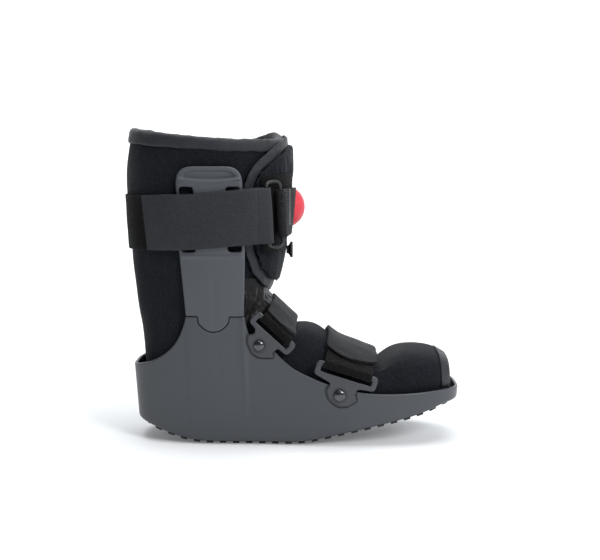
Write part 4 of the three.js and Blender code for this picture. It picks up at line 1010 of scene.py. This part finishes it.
# %% Stitches on the webbing
def stitched(name, under, stitches, thick=0.6):
    """Short threads laid on the near face of a piece, each from one (x, z) to another."""
    corners = [vertex.co for vertex in under.data.vertices]
    tree = BVHTree.FromPolygons(corners, [face.vertices for face in under.data.polygons])
    from_side, across = -0.3, Vector((0, 1, 0))
    longest, proud = 0.012, 0.00012
    points, faces = [], []
    for ends in stitches:
        found = [tree.ray_cast(Vector((x * MM, from_side, z * MM)), across) for x, z in ends]
        if any(hit[0] is None for hit in found):
            continue
        (a, out, *_), (b, *_) = found
        if (b - a).length > longest:
            continue
        run = (b - a).normalized()
        side = run.cross(out).normalized()
        for share, scale in ((0, 0.35), (0.2, 1), (0.8, 1), (1, 0.35)):
            middle = a.lerp(b, share) + out * proud
            for k in range(6):
                turn = math.pi * k / 3
                spot = middle + (side * math.cos(turn) + out * math.sin(turn)) * (thick / 2 * MM * scale)
                points.append(spot / MM)
        start = len(points) - 24
        for r in range(3):
            for k in range(6):
                j = (k + 1) % 6
                faces.append((start + r * 6 + k, start + r * 6 + j, start + r * 6 + 6 + j, start + r * 6 + 6 + k))
        faces.append(tuple(range(start, start + 6)))
        faces.append(tuple(range(start + 18, start + 24)))
    piece = new_piece(name, points, faces)
    outward(piece)
    piece.data.materials.append(THREAD)
    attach(piece, "root")
    print(name, len(points) // 24, "stitches")


ladder = [((31.8, z), (35.4, z)) for z in np.arange(190.5, 232, 1.7)]
zigzag = [((36.2, z), (38.4, z + 0.9)) for z in np.arange(190.5, 231, 1.8)]
zigzag += [((38.4, z + 0.9), (36.2, z + 1.8)) for z in np.arange(190.5, 231, 1.8)]
stitched("webbing_stitches", webbing, ladder + zigzag)

ring = from_packed("strap_ring", "calf_ring", levels=2, crease=0.0)
finished(ring, "ring_plastic", KNOB_PLASTIC, "calf_ring", angle=80)

# The smooth covers are strap fabric; theirs is the darker copy, painted shade against the top light.
for name, node, slot, material in (
    ("instep_loop_band", "instep_band", "loop_fabric", LOOP_CLOTH),
    ("forefoot_loop_band", "forefoot_band", "loop_fabric", LOOP_CLOTH),
    ("instep_smooth_cover", "instep_cover", "strap_fabric", STRAP_CLOTH_PAINTED_SHADE),
    ("forefoot_smooth_cover", "forefoot_cover", "strap_fabric", STRAP_CLOTH_PAINTED_SHADE),
):
    strap = from_packed(name, node, levels=2, crease=0.85)
    if "band" in node:
        remeshed(strap, 0.9, 14)
        rumpled(strap, 0.6, 3, seed=9.0)
    else:
        rumpled(strap, 0.8, 20, seed=11.0)
    finished(strap, slot, material, node, angle=60)

# %% [markdown]
# ## Bulb and release valve
#
# A soft red bulb pumps air into the flap; the black knob under it lets the air out.

# %% Bulb and valve
def on_front(piece, node, level):
    """Turns a solid of revolution to look forwards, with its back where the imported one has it."""
    low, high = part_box(node)
    x, y, z = points_of(piece).T
    set_points(piece, np.stack([z + low[0], y, level * MM - x], 1))


bulb = turned("air_bulb", [
    (0, 0), (17.4, 0), (17.6, 0.4), (17.3, 1.2), (16.5, 2.6), (15.4, 4.2), (13.6, 6.2), (11.2, 8.2),
    (8.2, 9.9), (4.6, 11.1), (0, 11.5),
], 64)
applied(bulb, "SUBSURF", levels=1, render_levels=1)
on_front(bulb, "pump_bulb", BULB_LEVEL)
finished(bulb, "bulb_rubber", BULB_RUBBER, "pump_bulb", angle=50)

valve = turned("air_release_valve", [
    (0, 0), (3.7, 0), (3.8, 1.6), (6.2, 3.2), (7.3, 3.6), (7.5, 4), (7.5, 5.4), (7.1, 5.9), (5, 6),
    (4.6, 5.4), (0, 5.4),
], 48)
on_front(valve, "release_valve", VALVE_LEVEL)
finished(valve, "ring_plastic", KNOB_PLASTIC, "release_valve", angle=40)

# %% [markdown]
# ## Outsole
#
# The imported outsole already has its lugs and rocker, so it stays and only gets its rubber.

# %% Outsole
sole = nodes["outsole"]
sole.data.materials.clear()
sole.data.materials.append(SOLE_RUBBER)
print("sole", len(sole.data.polygons), "faces")

# %% [markdown]
# ## Floor
#
# The sweep is plain and pale. It glows faintly at the back, as a lit background does, and hardly at
# all under the boot, so that the boot's shadow stays on it.

# %% Floor's finish, and the end
sweep = Finish("sweep", Specular_IOR_Level=0.2, Roughness=0.9, Emission_Strength=0.6)
far_back = Value(sweep, sweep.node("ShaderNodeSeparateXYZ", {}, {"Vector": sweep.place()}).outputs[1])
behind = sweep.ramp(far_back, 0.2, 1.5)
sweep.put(sweep.shader.inputs["Emission Color"], sweep.mix(behind, (0.2, 0.205, 0.21, 1), (0.97, 0.985, 1, 1)))
sweep.colour(sweep.mix(sweep.noise(2, 2), (0.8, 0.82, 0.84, 1), (0.84, 0.855, 0.87, 1)))
floor.data.materials.append(sweep.material)
